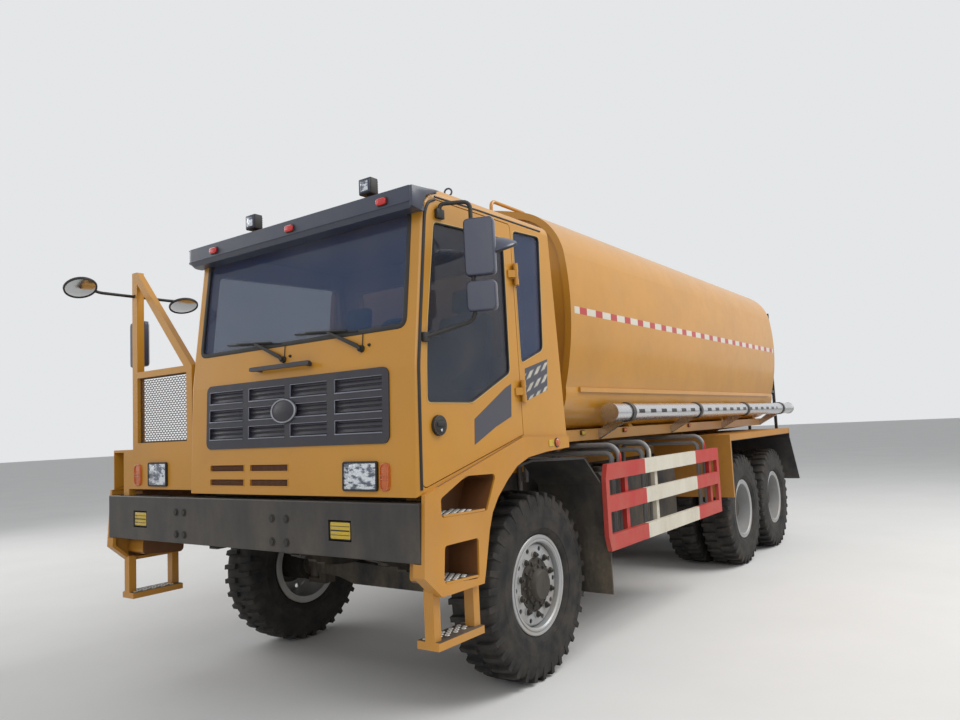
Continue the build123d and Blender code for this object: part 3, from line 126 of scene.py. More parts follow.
class Sock:
    """A node socket that takes part in sums and products."""

    __add__ = __radd__ = joins("ADD")
    __sub__ = joins("SUBTRACT")
    __rsub__ = joins("SUBTRACT", swapped=True)
    __mul__ = __rmul__ = joins("MULTIPLY")
    __truediv__ = joins("DIVIDE")
    most = joins("MAXIMUM")
    size = joins("ABSOLUTE")
    fraction = joins("FRACT")

    def __init__(self, tree: "Tree", socket: bpy.types.NodeSocket) -> None:
        """Keep the socket and the tree that it belongs to."""
        self.tree = tree
        self.socket = socket

    def ramp(self, low: float, high: float) -> "Sock":
        """Return how far the value is between two edges, from 0 to 1."""
        return self.tree.node(
            "ShaderNodeMapRange", {"clamp": True}, {"Value": self, "From Min": low, "From Max": high})

    def above(self, edge: float, soft: float = 0.002) -> "Sock":
        """Return 1 where the value is over an edge, softly 0 below it."""
        return self.ramp(edge - soft, edge + soft)

    def within(self, low: float, high: float, soft: float = 0.002) -> "Sock":
        """Return 1 between two edges and 0 outside them."""
        return self.above(low, soft) * (1.0 - self.above(high, soft))

    def repeat(self, period: float) -> "Sock":
        """Return the value's remainder by a period, as a share from 0 to 1."""
        return (self / period).fraction()

    def stripe(self, period: float) -> "Sock":
        """Return how far a place is from the middle of its stripe."""
        return ((self + FAR).repeat(period) - 0.5).size()


class Tree:
    """The nodes of a world or a material, with the calls that make them."""

    def __init__(self, owner: bpy.types.World | bpy.types.Material) -> None:
        """Give the owner an empty tree.

        Args:
            owner: The world or material.
        """
        owner.use_nodes = True
        self.owner = owner
        self.nodes = owner.node_tree.nodes
        self.nodes.clear()

    def node(self, kind: str, settings: dict | None = None, inputs: dict | None = None,
             out: int | str = 0) -> Sock:
        """Add a node.

        Args:
            kind: The node's type.
            settings: Its own settings, set first.
            inputs: Values or sockets for its inputs, by name or number.
            out: The output to return.

        Returns:
            The output socket.
        """
        node = self.nodes.new(kind)
        for name, value in (settings or {}).items():
            setattr(node, name, value)
        for name, value in (inputs or {}).items():
            socket = node.inputs[name]
            if isinstance(value, Sock):
                self.owner.node_tree.links.new(value.socket, socket)
            else:
                socket.default_value = (*value, 1.0) if socket.type == "RGBA" else value
        return Sock(self, node.outputs[out])

    def end(self, kind: str, shader: Sock) -> None:
        """Join a shader to a new output node."""
        output = self.nodes.new(kind)
        self.owner.node_tree.links.new(shader.socket, output.inputs["Surface"])


class Graph(Tree):
    """The nodes of a material that reads places on its object."""

    def __init__(self, name: str) -> None:
        """Start a material with the place on the object and its three numbers.

        Args:
            name: The material's name.
        """
        super().__init__(bpy.data.materials.new(name))
        self.place = self.node("ShaderNodeTexCoord", out="Object")
        split = self.node("ShaderNodeSeparateXYZ", inputs={0: self.place}).socket.node
        self.x, self.y, self.z = (Sock(self, output) for output in split.outputs)

    def texture(self, kind: str, stretch: Point, **inputs: float) -> Sock:
        """Return a texture on the object's places, stretched along its axes."""
        place = self.node("ShaderNodeMapping", inputs={"Vector": self.place, "Scale": stretch})
        return self.node(kind, inputs={"Vector": place, **inputs})

    def noise(self, scale: float, detail: float = 4.0, stretch: Point = (1.0, 1.0, 1.0)) -> Sock:
        """Return noise from about 0.3 to 0.7."""
        return self.texture("ShaderNodeTexNoise", stretch, Scale=scale, Detail=detail, Roughness=0.6)

    def cells(self, scale: float, stretch: Point) -> Sock:
        """Return the distance to the nearest point of a scatter."""
        return self.texture("ShaderNodeTexVoronoi", stretch, Scale=scale)

    def mix(self, mask: Sock, first: object, second: object) -> Sock:
        """Return a colour between two, by a mask."""
        return self.node("ShaderNodeMix", {"data_type": "RGBA"}, {0: mask, 6: first, 7: second}, out=2)

    def bump(self, height: Sock, distance: float, strength: float = 1.0) -> Sock:
        """Return a normal for a height given as a share of a distance in metres."""
        return self.node(
            "ShaderNodeBump", inputs={"Height": height, "Distance": distance, "Strength": strength})


BLACKEST = (0.0, 0.0, 0.0)
DUST = srgb(158, 142, 116)
OCHRE = srgb(190, 132, 34)
RED = srgb(178, 38, 34)
OFF_WHITE = srgb(206, 200, 184)


@dataclass(frozen=True)
class Look:
    """What every finish has: its name, its colour and the inputs of its shader."""

    name: str
    colour: Colour

    def inputs(self, graph: Graph) -> dict[str, object]:
        """Return the shader's numbers, colours and sockets by the input that they go to."""
        return {"Base Color": self.colour}

    def material(self) -> bpy.types.Material:
        """Return the finish as a material.

        Returns:
            The material.
        """
        graph = Graph(self.name)
        shader = graph.node("ShaderNodeBsdfPrincipled", inputs=self.inputs(graph))
        graph.end("ShaderNodeOutputMaterial", shader)
        return graph.owner


@dataclass(frozen=True)
class Finish(Look):
    """A finish with uneven colour, dust that thins out with height, and a fine grain."""

    roughness: float = 0.45
    metallic: float = 0.0
    coat: float = 0.0
    mottle: float = 0.10
    dust: float = 0.25
    dust_top: float = 1.6
    grain: float = 0.0002
    grain_scale: float = 260.0

    def base(self, graph: Graph) -> Sock | Colour:
        """Return the clean colour, before its unevenness and dust."""
        return self.colour

    def dust_mask(self, graph: Graph) -> Sock:
        """Return how much dust lies on a place: low down, in streaks and in specks.

        Args:
            graph: The material's nodes.

        Returns:
            The mask, from 0 to 1.
        """
        low = 1.0 - graph.z.ramp(0.1, self.dust_top)
        streaks = graph.noise(5.0, 6.0, (1.0, 1.0, 0.35)).above(0.50, 0.16)
        specks = graph.noise(34.0, 3.0) * 0.9 + 0.45
        return (low * 0.75 + 0.25) * streaks * specks * self.dust

    def inputs(self, graph: Graph) -> dict[str, object]:
        """Return the inputs, with patches slightly darker than the clean colour under the dust.

        Args:
            graph: The material's nodes.

        Returns:
            The shader's numbers, colours and sockets by the input that they go to.
        """
        mask = self.dust_mask(graph)
        patches = graph.noise(1.7, 5.0).above(0.62, 0.22) * (1.9 * self.mottle)
        uneven = graph.mix(patches, self.base(graph), BLACKEST)
        return {
            "IOR": 1.5, "Coat Roughness": 0.12, "Metallic": self.metallic, "Coat Weight": self.coat,
            "Base Color": graph.mix(mask, uneven, DUST),
            "Roughness": graph.noise(9.0, 5.0) * 0.18 + (self.roughness - 0.09) + mask * 0.35,
            "Normal": graph.bump(graph.noise(self.grain_scale, 3.0), self.grain)}


@dataclass(frozen=True)
class StripedFinish(Finish):
    """Paint crossed by a red and white marking tape along Y."""

    tape: Pair = (2.785, 2.845)
    ends: Pair = (-1.985, 4.30)
    side_x: float = 1.2
    dash: float = 0.30

    def base(self, graph: Graph) -> Sock:
        """Return the paint with its tape on both sides of the tank.

        Args:
            graph: The material's nodes.

        Returns:
            The colour.
        """
        dashes = (graph.y + DASH_START).repeat(self.dash).within(0.02, 0.46, 0.004)
        side = graph.x.size().above(self.side_x)
        field = graph.z.within(*self.tape) * graph.y.within(*self.ends) * side
        return graph.mix(field, self.colour, graph.mix(dashes, OFF_WHITE, RED))


@dataclass(frozen=True)
class BandedFinish(Finish):
    """Guard paint in red and white fields along Y, with bare grey on the tubes inside."""

    white: Pair = (-1.205, 0.09)
    tube_x: float = 1.564

    def base(self, graph: Graph) -> Sock:
        """Return red ends, white middles, chips and grey tubes.

        Args:
            graph: The material's nodes.

        Returns:
            The colour.
        """
        fields = graph.mix(graph.y.within(*self.white, 0.003), RED, OFF_WHITE)
        chips = graph.noise(46.0, 5.0).above(0.685, 0.015)
        worn = graph.mix(chips, fields, srgb(92, 66, 52))
        return graph.mix(graph.x.size().above(self.tube_x), srgb(128, 130, 132), worn)


@dataclass(frozen=True)
class PocketShadeFinish(Finish):
    """Paint with painted shade in the step pockets behind the panel's skin: a darker brown there."""

    skin_x: float = 1.664
    front_y: float = -4.165
    foot_z: float = 0.945

    def base(self, graph: Graph) -> Sock:
        """Return the paint, with painted shade in the pockets: a darker brown.

        Args:
            graph: The material's nodes.

        Returns:
            The colour.
        """
        behind = 1.0 - graph.x.size().above(self.skin_x)
        pocket_shade = behind * graph.y.above(self.front_y) * graph.z.above(self.foot_z)
        # The darker brown in the pockets is painted shade.
        return graph.mix(pocket_shade, self.colour, srgb(112, 70, 38))


@dataclass(frozen=True)
class MudguardShadeFinish(Finish):
    """Mudguard paint with painted shade in black under the sheet, and a black rubber rear flap."""

    shade_below_z: float = 1.566
    front_y: float = 1.45
    flap_y: float = 4.236

    def base(self, graph: Graph) -> Sock:
        """Return the paint, black under the sheet as painted shade, and black on the rubber flap."""
        # Black under the sheet is painted shade; the flap's black is its rubber.
        under = (1.0 - graph.z.above(self.shade_below_z)) * graph.y.above(self.front_y)
        return graph.mix(under.most(graph.y.above(self.flap_y)), self.colour, srgb(34, 34, 38))


@dataclass(frozen=True)
class DashedFinish(Finish):
    """Polished tube with a row of dark marks along its outer side."""

    dash: float = 0.27
    ends: Pair = (-1.05, 3.9)
    side_x: float = 1.5
    centre_z: float = 1.945
    half: float = 0.018

    def base(self, graph: Graph) -> Sock:
        """Return steel with dark marks facing outwards.

        Args:
            graph: The material's nodes.

        Returns:
            The colour.
        """
        dashes = (graph.y + DASH_START).repeat(self.dash).within(0.25, 0.75, 0.01)
        row = 1.0 - (graph.z - self.centre_z).size().above(self.half)
        outside = graph.x.size().above(self.side_x) * graph.y.within(*self.ends, 0.005)
        return graph.mix(dashes * row * outside, self.colour, srgb(52, 40, 42))


@dataclass(frozen=True)
class Glazing(Look):
    """Dark tinted safety glass with a faint film of dust; on the windscreen the blue of the tint is partly a
    painted reflection of the sky.
    """

    alpha: float

    def inputs(self, graph: Graph) -> dict[str, object]:
        """Return the inputs.

        Args:
            graph: The material's nodes.

        Returns:
            The shader's numbers, colours and sockets by the input that they go to.
        """
        film = graph.noise(3.0, 6.0).above(0.52, 0.2)
        return {"IOR": 1.5, "Base Color": graph.mix(film * 0.10, self.colour, DUST),
                "Roughness": graph.noise(60.0, 3.0) * 0.05 + 0.01, "Alpha": film * 0.05 + self.alpha}


@dataclass(frozen=True)
class Lens(Look):
    """Moulded plastic lens with fine ribs."""

    rib: float = 0.012

    def inputs(self, graph: Graph) -> dict[str, object]:
        """Return the inputs.

        Args:
            graph: The material's nodes.

        Returns:
            The shader's numbers, colours and sockets by the input that they go to.
        """
        ribs = (graph.x + graph.y).stripe(self.rib)
        darker = tuple(value * 0.5 for value in self.colour)
        return {"IOR": 1.49, "Roughness": 0.12, "Coat Weight": 0.5,
                "Base Color": graph.mix(ribs.above(0.4, 0.1) * 0.35, self.colour, darker),
                "Normal": graph.bump(ribs + graph.z.stripe(self.rib), 0.002, 0.8)}


@dataclass(frozen=True)
class Facets(Look):
    """A reflector broken into facets, as seen through a fluted glass, with painted reflections: dark
    blue-grey blotches on a bright base.
    """

    def inputs(self, graph: Graph) -> dict[str, object]:
        """Return the inputs.

        Args:
            graph: The material's nodes.

        Returns:
            The shader's numbers, colours and sockets by the input that they go to.
        """
        # Painted reflections: blotches of dark blue-grey over the bright colour.
        reflection_blotches = graph.noise(15.0, 4.0, (1.0, 1.0, 2.2)).above(0.48, 0.05)
        cells = graph.cells(60.0, (1.0, 1.0, 1.8))
        return {"Metallic": 0.5, "Coat Weight": 1.0, "Coat Roughness": 0.03,
                "Base Color": graph.mix(reflection_blotches, srgb(88, 94, 110), self.colour),
                "Roughness": cells * 0.2 + 0.1, "Normal": graph.bump(cells, 0.006, 0.6)}


@dataclass(frozen=True)
class Tread(Look):
    """Tyre rubber with dried dust."""

    def inputs(self, graph: Graph) -> dict[str, object]:
        """Return the inputs.

        Args:
            graph: The material's nodes.

        Returns:
            The shader's numbers, colours and sockets by the input that they go to.
        """
        fine = graph.noise(140.0, 4.0)
        dusty = graph.noise(7.0, 6.0).above(0.5, 0.16) * (fine * 0.5 + 0.10)
        return {"IOR": 1.45, "Specular IOR Level": 0.35,
                "Base Color": graph.mix(dusty, self.colour, srgb(92, 84, 74)),
                "Roughness": fine * 0.2 + 0.68, "Normal": graph.bump(fine, 0.0008)}


@dataclass(frozen=True)
class Weave(Look):
    """Woven seat cloth."""

    thread: float = 0.006

    def inputs(self, graph: Graph) -> dict[str, object]:
        """Return the inputs.

        Args:
            graph: The material's nodes.

        Returns:
            The shader's numbers, colours and sockets by the input that they go to.
        """
        threads = graph.x.stripe(self.thread) + (graph.z + graph.y).stripe(self.thread)
        paler = tuple(value * 2.2 for value in self.colour)
        return {"Sheen Weight": 0.3, "Specular IOR Level": 0.3,
                "Base Color": graph.mix(threads * 0.6, self.colour, paler),
                "Roughness": graph.noise(20.0) * 0.1 + 0.82, "Normal": graph.bump(threads, 0.0012)}


@dataclass(frozen=True)
class Checker(Look):
    """Door sticker: a grey field, with rows of slanted pale blocks where asked."""

    block: float = 0.0

    def inputs(self, graph: Graph) -> dict[str, object]:
        """Return the inputs.

        Args:
            graph: The material's nodes.

        Returns:
            The shader's numbers, colours and sockets by the input that they go to.
        """
        worn = graph.noise(30.0, 5.0).above(0.66, 0.05)
        tone = graph.mix(worn * 0.4, self.colour, srgb(96, 92, 88))
        if self.block:
            column = (graph.y - graph.z * 0.9 + FAR).repeat(self.block * 1.6).within(0.1, 0.62, 0.05)
            row = (graph.z - graph.y * 0.32 + FAR).repeat(self.block * 1.9).within(0.1, 0.6, 0.05)
            faded = graph.noise(14.0).above(0.45, 0.2) * 0.6 + 0.3
            tone = graph.mix(column * row * faded, tone, OFF_WHITE)
        return {"Specular IOR Level": 0.4, "Base Color": tone, "Roughness": worn * 0.2 + 0.4}


@dataclass(frozen=True)
class Ground(Look):
    """The pale floor."""

    def inputs(self, graph: Graph) -> dict[str, object]:
        """Return the inputs."""
        grain = graph.noise(0.6, 5.0)
        return {"Specular IOR Level": 0.2, "Base Color": graph.mix(grain, self.colour, srgb(214, 213, 210)),
                "Roughness": grain * 0.1 + 0.8}


class Paint(Enum):
    """The finishes of the truck, by what they cover."""

    BODY = Finish("ochre_paint", OCHRE, 0.36, coat=0.25, mottle=0.07, dust=0.22, grain=0.0001)
    TANK = StripedFinish("tank_paint", OCHRE, 0.34, coat=0.3, mottle=0.09, dust=0.20, dust_top=2.6,
                         grain=0.0006, grain_scale=9.0)
    # Its step pockets carry painted shade in a darker brown.
    STEP = PocketShadeFinish("step_paint", srgb(190, 130, 36), 0.42, coat=0.15, mottle=0.12, dust=0.26)
    # Its black under the sheet is painted shade.
    LINED = MudguardShadeFinish("mudguard_paint", srgb(176, 120, 40), 0.5, mottle=0.16, dust=0.3)
    BLACK = Finish("black_paint", srgb(46, 43, 42), 0.46, coat=0.1, mottle=0.12, dust=0.28)
    VISOR = Finish("visor_paint", srgb(54, 60, 76), 0.4, coat=0.2, mottle=0.08, dust=0.2, dust_top=3.0)
    CHASSIS = Finish("chassis_paint", srgb(38, 38, 40), 0.6, mottle=0.2, dust=0.5, dust_top=1.7,
                     grain=0.0006)
    GRILLE = Finish("grille_paint", srgb(40, 40, 50), 0.40, mottle=0.08, dust=0.2)
    # Pale grey on the grille's lips is a painted highlight of their edges.
    LIP = Finish("grille_lip", srgb(124, 126, 138), 0.35, metallic=0.3, dust=0.1)
    BADGE = Finish("badge_rim", srgb(150, 152, 158), 0.35, metallic=0.5, mottle=0.06, dust=0.1)
    MESH = Finish("screen_steel", srgb(70, 62, 52), 0.65, metallic=0.1, mottle=0.2, dust=0.3)
    DOTS = Finish("tread_studs", srgb(206, 204, 198), 0.5, metallic=0.2, dust=0.2)
    CABIN = Finish("cabin_plastic", srgb(62, 62, 64), 0.7, mottle=0.06, dust=0.1, grain=0.0005,
                   grain_scale=500.0)
    RUBBER = Finish("black_rubber", srgb(32, 32, 34), 0.75, mottle=0.12, dust=0.42, grain=0.0006)
    GASKET = Finish("gasket_rubber", srgb(24, 24, 25), 0.6, dust=0.2)
    RUST = Finish("rusted_mesh", srgb(84, 44, 34), 0.75, mottle=0.25, dust=0.3, grain=0.0006)
    # A pale painted highlight: the window's flange catching the light.
    TRIM = Finish("window_trim", srgb(206, 176, 112), 0.5, mottle=0.08, dust=0.2)
    SHELL = Finish("mirror_shell", srgb(44, 52, 74), 0.38, coat=0.2, mottle=0.06, dust=0.15, dust_top=3.4)
    RIM = Finish("rim_paint", srgb(172, 174, 176), 0.42, metallic=0.35, mottle=0.12, dust=0.55, dust_top=1.3)
    HUB = Finish("hub_paint", srgb(40, 37, 34), 0.6, mottle=0.2, dust=0.16, dust_top=1.3, grain=0.0008)
    BOLT = Finish("zinc_bolts", srgb(118, 116, 110), 0.45, metallic=0.7, mottle=0.2, dust=0.4)
    GUARD = BandedFinish("guard_paint", RED, 0.5, mottle=0.08, dust=0.45, dust_top=1.7)
    TUBE = DashedFinish("polished_tube", srgb(206, 206, 208), 0.24, metallic=0.9, mottle=0.05, dust_top=2.6)
    TREADPLATE = Finish("tread_plate", srgb(70, 60, 54), 0.6, metallic=0.2, mottle=0.2, dust=0.3)
    MIRROR = Finish("mirror_glass", srgb(226, 228, 230), 0.06, metallic=1.0, mottle=0.02, dust=0.1)
    CHROME = Finish("lamp_reflector", srgb(222, 224, 228), 0.12, metallic=1.0, mottle=0.03, dust=0.05)
    TYRE = Tread("tyre_rubber", srgb(34, 34, 35))
    FACETS = Facets("lamp_facets", srgb(216, 221, 226))
    # The windscreen's blue is partly its tint and partly a painted reflection of the sky.
    GLASS = Glazing("cab_glass", srgb(36, 68, 108), 0.42)
    SIDE_GLASS = Glazing("side_glass", srgb(34, 46, 64), 0.55)
    AMBER = Lens("amber_lens", srgb(190, 92, 30))
    YELLOW = Lens("fog_lens", srgb(196, 164, 30))
    RED_LENS = Lens("red_lens", srgb(196, 26, 24))
    CLOTH = Weave("seat_cloth", srgb(52, 54, 60))
    STICKER = Checker("dark_sticker", srgb(72, 72, 80))
    BLOCKS = Checker("block_sticker", srgb(72, 72, 80), 0.045)
    FLOOR = Ground("pale_floor", srgb(226, 225, 222))


Parts = Sequence[tuple[Obj, Paint]]


@cache
def made(paint: Paint) -> bpy.types.Material:
    """Return a finish's material, made once."""
    return paint.value.material()


def coat(obj: Obj, paint: Paint) -> Obj:
    """Give a whole object one finish and return it.

    Args:
        obj: The object.
        paint: Its finish.

    Returns:
        The object.
    """
    obj.data.materials.clear()
    obj.data.materials.append(made(paint))
    return obj


# Modelling

def begin() -> None:
    """Leave edit mode and deselect everything."""
    if bpy.context.object and bpy.context.object.mode != "OBJECT":
        bpy.ops.object.mode_set(mode="OBJECT")
    bpy.ops.object.select_all(action="DESELECT")


def take(obj: Obj) -> None:
    """Select one object alone and make it active.

    Args:
        obj: The object.
    """
    begin()
    obj.select_set(True)
    bpy.context.view_layer.objects.active = obj


@contextmanager
def editing(obj: Obj) -> Iterator[None]:
    """Hold an object in edit mode, all of it selected, and turn its faces outwards at the end.

    Args:
        obj: The object.
    """
    take(obj)
    bpy.ops.object.mode_set(mode="EDIT")
    bpy.ops.mesh.select_all(action="SELECT")
    yield
    bpy.ops.mesh.select_all(action="SELECT")
    bpy.ops.mesh.normals_make_consistent(inside=False)
    bpy.ops.object.mode_set(mode="OBJECT")


def added(operator: Callable, name: str, **settings: object) -> Obj:
    """Add a basic mesh and put its place into it.

    Args:
        operator: The Blender operator that adds it.
        name: The piece's name.
        settings: What the operator is told.

    Returns:
        The object, at the origin.
    """
    begin()
    operator(**settings)
    obj = bpy.context.object
    take(obj)
    bpy.ops.object.transform_apply(location=True, rotation=True, scale=True)
    obj.name = obj.data.name = name
    return obj


def linked(name: str, data: bpy.types.ID) -> Obj:
    """Return a new object of the scene for a mesh, curve, lamp or camera.

    Args:
        name: Its name.
        data: What it shows.

    Returns:
        The object.
    """
    obj = bpy.data.objects.new(name, data)
    bpy.context.scene.collection.objects.link(obj)
    return obj


def apply(obj: Obj, kind: str, **settings: object) -> None:
    """Add a modifier with its settings and apply it.

    Args:
        obj: The object.
        kind: The modifier's kind.
        settings: Its settings.
    """
    take(obj)
    modifier = obj.modifiers.new(kind.title(), kind)
    for name, value in settings.items():
        setattr(modifier, name, value)
    bpy.ops.object.modifier_apply(modifier=modifier.name)


def smooth(obj: Obj, angle: float = 35.0) -> None:
    """Smooth the shading across edges flatter than an angle."""
    take(obj)
    bpy.ops.object.shade_smooth_by_angle(angle=radians(angle))


def finish_edges(obj: Obj, width: float, segments: int = 2) -> Obj:
    """Round an object's sharp edges, smooth its shading and return it.

    Args:
        obj: The object.
        width: The radius of its edges, or 0 to leave them sharp.
        segments: How many faces an edge becomes.

    Returns:
        The object.
    """
    if width:
        apply(obj, "BEVEL", width=width, segments=segments, limit_method="ANGLE", angle_limit=radians(35))
        smooth(obj)
    return obj


def placed(obj: Obj, matrix: Matrix) -> Obj:
    """Move an object's mesh by a matrix, its faces kept outwards, and return it.

    Args:
        obj: The object.
        matrix: Where its mesh goes.

    Returns:
        The object.
    """
    obj.data.transform(matrix)
    if matrix.determinant() < 0:
        obj.data.flip_normals()
    return obj


def copied(obj: Obj, name: str, matrix: Matrix = Matrix()) -> Obj:
    """Return a copy with its own mesh, moved by a matrix.

    Args:
        obj: The model.
        name: The copy's name.
        matrix: Where its mesh goes.

    Returns:
        The copy.
    """
    data = obj.data.copy()
    data.name = name
    return placed(linked(name, data), matrix)


def mirrored(obj: Obj, name: str) -> Obj:
    """Return a copy on the truck's other side."""
    return copied(obj, name, Matrix.Scale(-1, 4, (1, 0, 0)))


def joined(objects: Sequence[Obj], name: str) -> Obj:
    """Join objects into one.

    Args:
        objects: What is joined, in order.
        name: The name of the whole.

    Returns:
        The whole.
    """
    take(objects[0])
    for obj in objects:
        obj.select_set(True)
    bpy.ops.object.join()
    obj = bpy.context.object
    obj.name = obj.data.name = name
    return obj


def assembled(parts: Parts, name: str) -> Obj:
    """Join parts that keep a finish each."""
    return joined([coat(obj, paint) for obj, paint in parts], name)


def repeated(model: Obj, matrices: Sequence[Matrix]) -> Obj:
    """Put a copy of a model at each of many places.

    Args:
        model: The piece, which is used up.
        matrices: Where each copy goes.

    Returns:
        The joined copies, under the model's name.
    """
    name = model.name
    copies = [copied(model, name, matrix) for matrix in matrices]
    bpy.data.objects.remove(model)
    return joined(copies, name)


def ring_of(obj: Obj, count: int, start: float = 0.0) -> Obj:
    """Repeat an object round the X axis, from a first turn in degrees."""
    turns = [radians(start) + 2 * pi * number / count for number in range(count)]
    return repeated(obj, [Matrix.Rotation(turn, 4, "X") for turn in turns])


def dressed(obj: Obj, body: str, slot: str, *nodes: str) -> Obj:
    """Tell the frame about a finished piece.

    Args:
        obj: The piece, with its finishes.
        body: The body that it rides on.
        slot: Not used.
        nodes: The nodes that it stands for.

    Returns:
        The piece.
    """
    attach(obj, body)
    if nodes:
        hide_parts(*nodes)
    log.info("%s: %d faces, rides on %s", obj.name, len(obj.data.polygons), body)
    return obj


def box(name: str, spans: tuple[Pair, Pair, Pair], bevel: float = 0.0, origin: Point = (0, 0, 0)) -> Obj:
    """Add a block with rounded edges.

    Args:
        name: The piece's name.
        spans: From and to along X, Y and Z, seen from its origin.
        bevel: The radius of its edges.
        origin: Where its origin is in the model.

    Returns:
        The object.
    """
    middle = [start + (low + high) / 2 for start, (low, high) in zip(origin, spans)]
    size = [high - low for low, high in spans]
    block = added(bpy.ops.mesh.primitive_cube_add, name, size=1, location=middle, scale=size)
    return finish_edges(block, bevel)


def turned(name: str, profile: Sequence[Pair], segments: int = 64, angle: float = 35.0) -> Obj:
    """Turn a profile about the X axis by extruding a ring from point to point.

    Args:
        name: The piece's name.
        profile: Points (x, radius).
        segments: Sides of the ring.
        angle: Edges flatter than this are shaded smooth.

    Returns:
        The object.
    """
    x, radius = profile[0]
    obj = added(bpy.ops.mesh.primitive_circle_add, name, vertices=segments, radius=radius,
                location=(x, 0, 0), rotation=ALONG_X)
    with editing(obj):
        for (x_old, old), (x_new, new) in zip(profile, profile[1:]):
            bpy.ops.mesh.extrude_edges_move(TRANSFORM_OT_translate={"value": (x_new - x_old, 0, 0)})
            bpy.ops.transform.resize(value=(1, new / old, new / old), center_override=(x_new, 0, 0))
        bpy.ops.mesh.select_all(action="SELECT")
        bpy.ops.mesh.remove_doubles(threshold=0.00002)
    smooth(obj, angle)
    return obj


def rounded(points: Sequence[Point], bend: float, closed: bool, steps: int = 5) -> list[Vector]:
    """Round the corners of a path.

    Args:
        points: Its corners.
        bend: The radius at each.
        closed: Whether it comes back to its start.
        steps: How many runs an arc has.

    Returns:
        Its points, with each corner replaced by an arc.
    """
    path = []
    count = len(points)
    for number, place in enumerate(points):
        here = Vector(place)
        if not bend or not closed and number in (0, count - 1):
            path.append(here)
            continue
        before = Vector(points[number - 1]) - here
        after = Vector(points[(number + 1) % count]) - here
        cut = min(bend, before.length * 0.45, after.length * 0.45)
        start, end = here + before.normalized() * cut, here + after.normalized() * cut
        for step in range(steps + 1):
            share = step / steps
            path.append(start.lerp(here, share).lerp(here.lerp(end, share), share))
    return path


def tube(name: str, points: Sequence[Point], radius: float, bend: float = 0.0, sides: int = 8) -> Obj:
    """Add a round tube along straight runs.

    Args:
        name: The piece's name.
        points: The corners of its path.
        radius: Half its thickness.
        bend: The radius of its corners.
        sides: Sides of its section.

    Returns:
        The object, as a mesh.
    """
    path = rounded(points, bend, False)
    curve = bpy.data.curves.new(name, "CURVE")
    curve.dimensions = "3D"
    curve.bevel_depth = radius
    curve.bevel_resolution = sides // 4 - 1
    curve.use_fill_caps = True
    spline = curve.splines.new("POLY")
    spline.points.add(len(path) - 1)
    for slot, place in zip(spline.points, path):
        slot.co = (*place, 1.0)
    take(linked(name, curve))
    bpy.ops.object.convert(target="MESH")
    smooth(bpy.context.object, 50)
    return bpy.context.object


def panel(name: str, outline: Sequence[Pair], heights: Pair, corner: float = 0.0, bevel: float = 0.0,
          inset: float = 0.0) -> Obj:
    """Add a flat piece with an outline in its own X and Y.

    Args:
        name: The piece's name.
        outline: Its corners, in order.
        heights: Its underside and its top.
        corner: The radius of its corners.
        bevel: The radius of its edges.
        inset: The width of the frame that is left of it, or 0 for all of it.

    Returns:
        The object, with its faces outwards.
    """
    low, high = heights
    path = rounded([(x, y, low) for x, y in outline], corner, True, 4)
    obj = added(bpy.ops.mesh.primitive_circle_add, name, vertices=len(path), fill_type="NGON")
    for vertex, place in zip(obj.data.vertices, path):
        vertex.co = place
    with editing(obj):
        if inset:
            bpy.ops.mesh.inset(thickness=inset, use_even_offset=True)
            bpy.ops.mesh.delete(type="FACE")
            bpy.ops.mesh.select_all(action="SELECT")
        bpy.ops.mesh.extrude_region_move(TRANSFORM_OT_translate={"value": (0, 0, high - low)})
    return finish_edges(obj, bevel)


def slab(name: str, spread: Spread, heights: Pair, corner: float = 0.0, bevel: float = 0.0,
         inset: float = 0.0, grow: float = 0.0) -> Obj:
    """Add an oblong panel.

    Args:
        name: The piece's name.
        spread: From and to along its own X and Y.
        heights: Its underside and its top.
        corner: The radius of its corners.
        bevel: The radius of its edges.
        inset: The width of the frame that is left of it, or 0 for all of it.
        grow: How far it reaches over its spread on each side.

    Returns:
        The object.
    """
    (left, right), (low, high) = ((a - grow, b + grow) for a, b in spread)
    outline = [(left, low), (right, low), (right, high), (left, high)]
    return panel(name, outline, heights, corner, bevel, inset)


def tapered(name: str, centre: Pair, radii: Pair, heights: Pair, sides: int = 32,
            bevel: float = 0.0015) -> Obj:
    """Add a round boss on its own XY plane.

    Args:
        name: The piece's name.
        centre: Its middle.
        radii: Its radius at its foot and at its top.
        heights: Its underside and its top.
        sides: Sides of its section.
        bevel: The radius of its edges.

    Returns:
        The object.
    """
    obj = added(bpy.ops.mesh.primitive_cone_add, name, vertices=sides, radius1=radii[0], radius2=radii[1],
                depth=heights[1] - heights[0], location=(*centre, sum(heights) / 2))
    return finish_edges(obj, bevel)


def hexagon_bolt(name: str, place: Point, axis: Point, across: float, height: float) -> Obj:
    """Add a hexagon bolt head on its washer.

    Args:
        name: The piece's name.
        place: The middle of its foot.
        axis: The way it stands out.
        across: Its width over its corners.
        height: How high it stands.

    Returns:
        The object.
    """
    direction = Vector(axis)
    turn = direction.to_track_quat("Z", "Y").to_euler()
    cylinder = bpy.ops.mesh.primitive_cylinder_add
    head = added(cylinder, name, vertices=6, radius=across / 2, depth=height,
                 location=Vector(place) + direction * height / 2, rotation=turn)
    finish_edges(head, height * 0.14, 1)
    washer = added(cylinder, name, vertices=16, radius=across * 0.68, depth=height * 0.3,
                   location=Vector(place) + direction * height * 0.15, rotation=turn)
    return joined([head, washer], name)


def columns(across: Point, up: Point, out: Point, origin: Point = (0, BUMPER_Y, BUMPER_TOP)) -> Matrix:
    """Return the matrix that takes a piece's own X, Y and Z to three directions at a place."""
    return Matrix.Translation(origin) @ Matrix((across, up, out)).transposed().to_4x4()


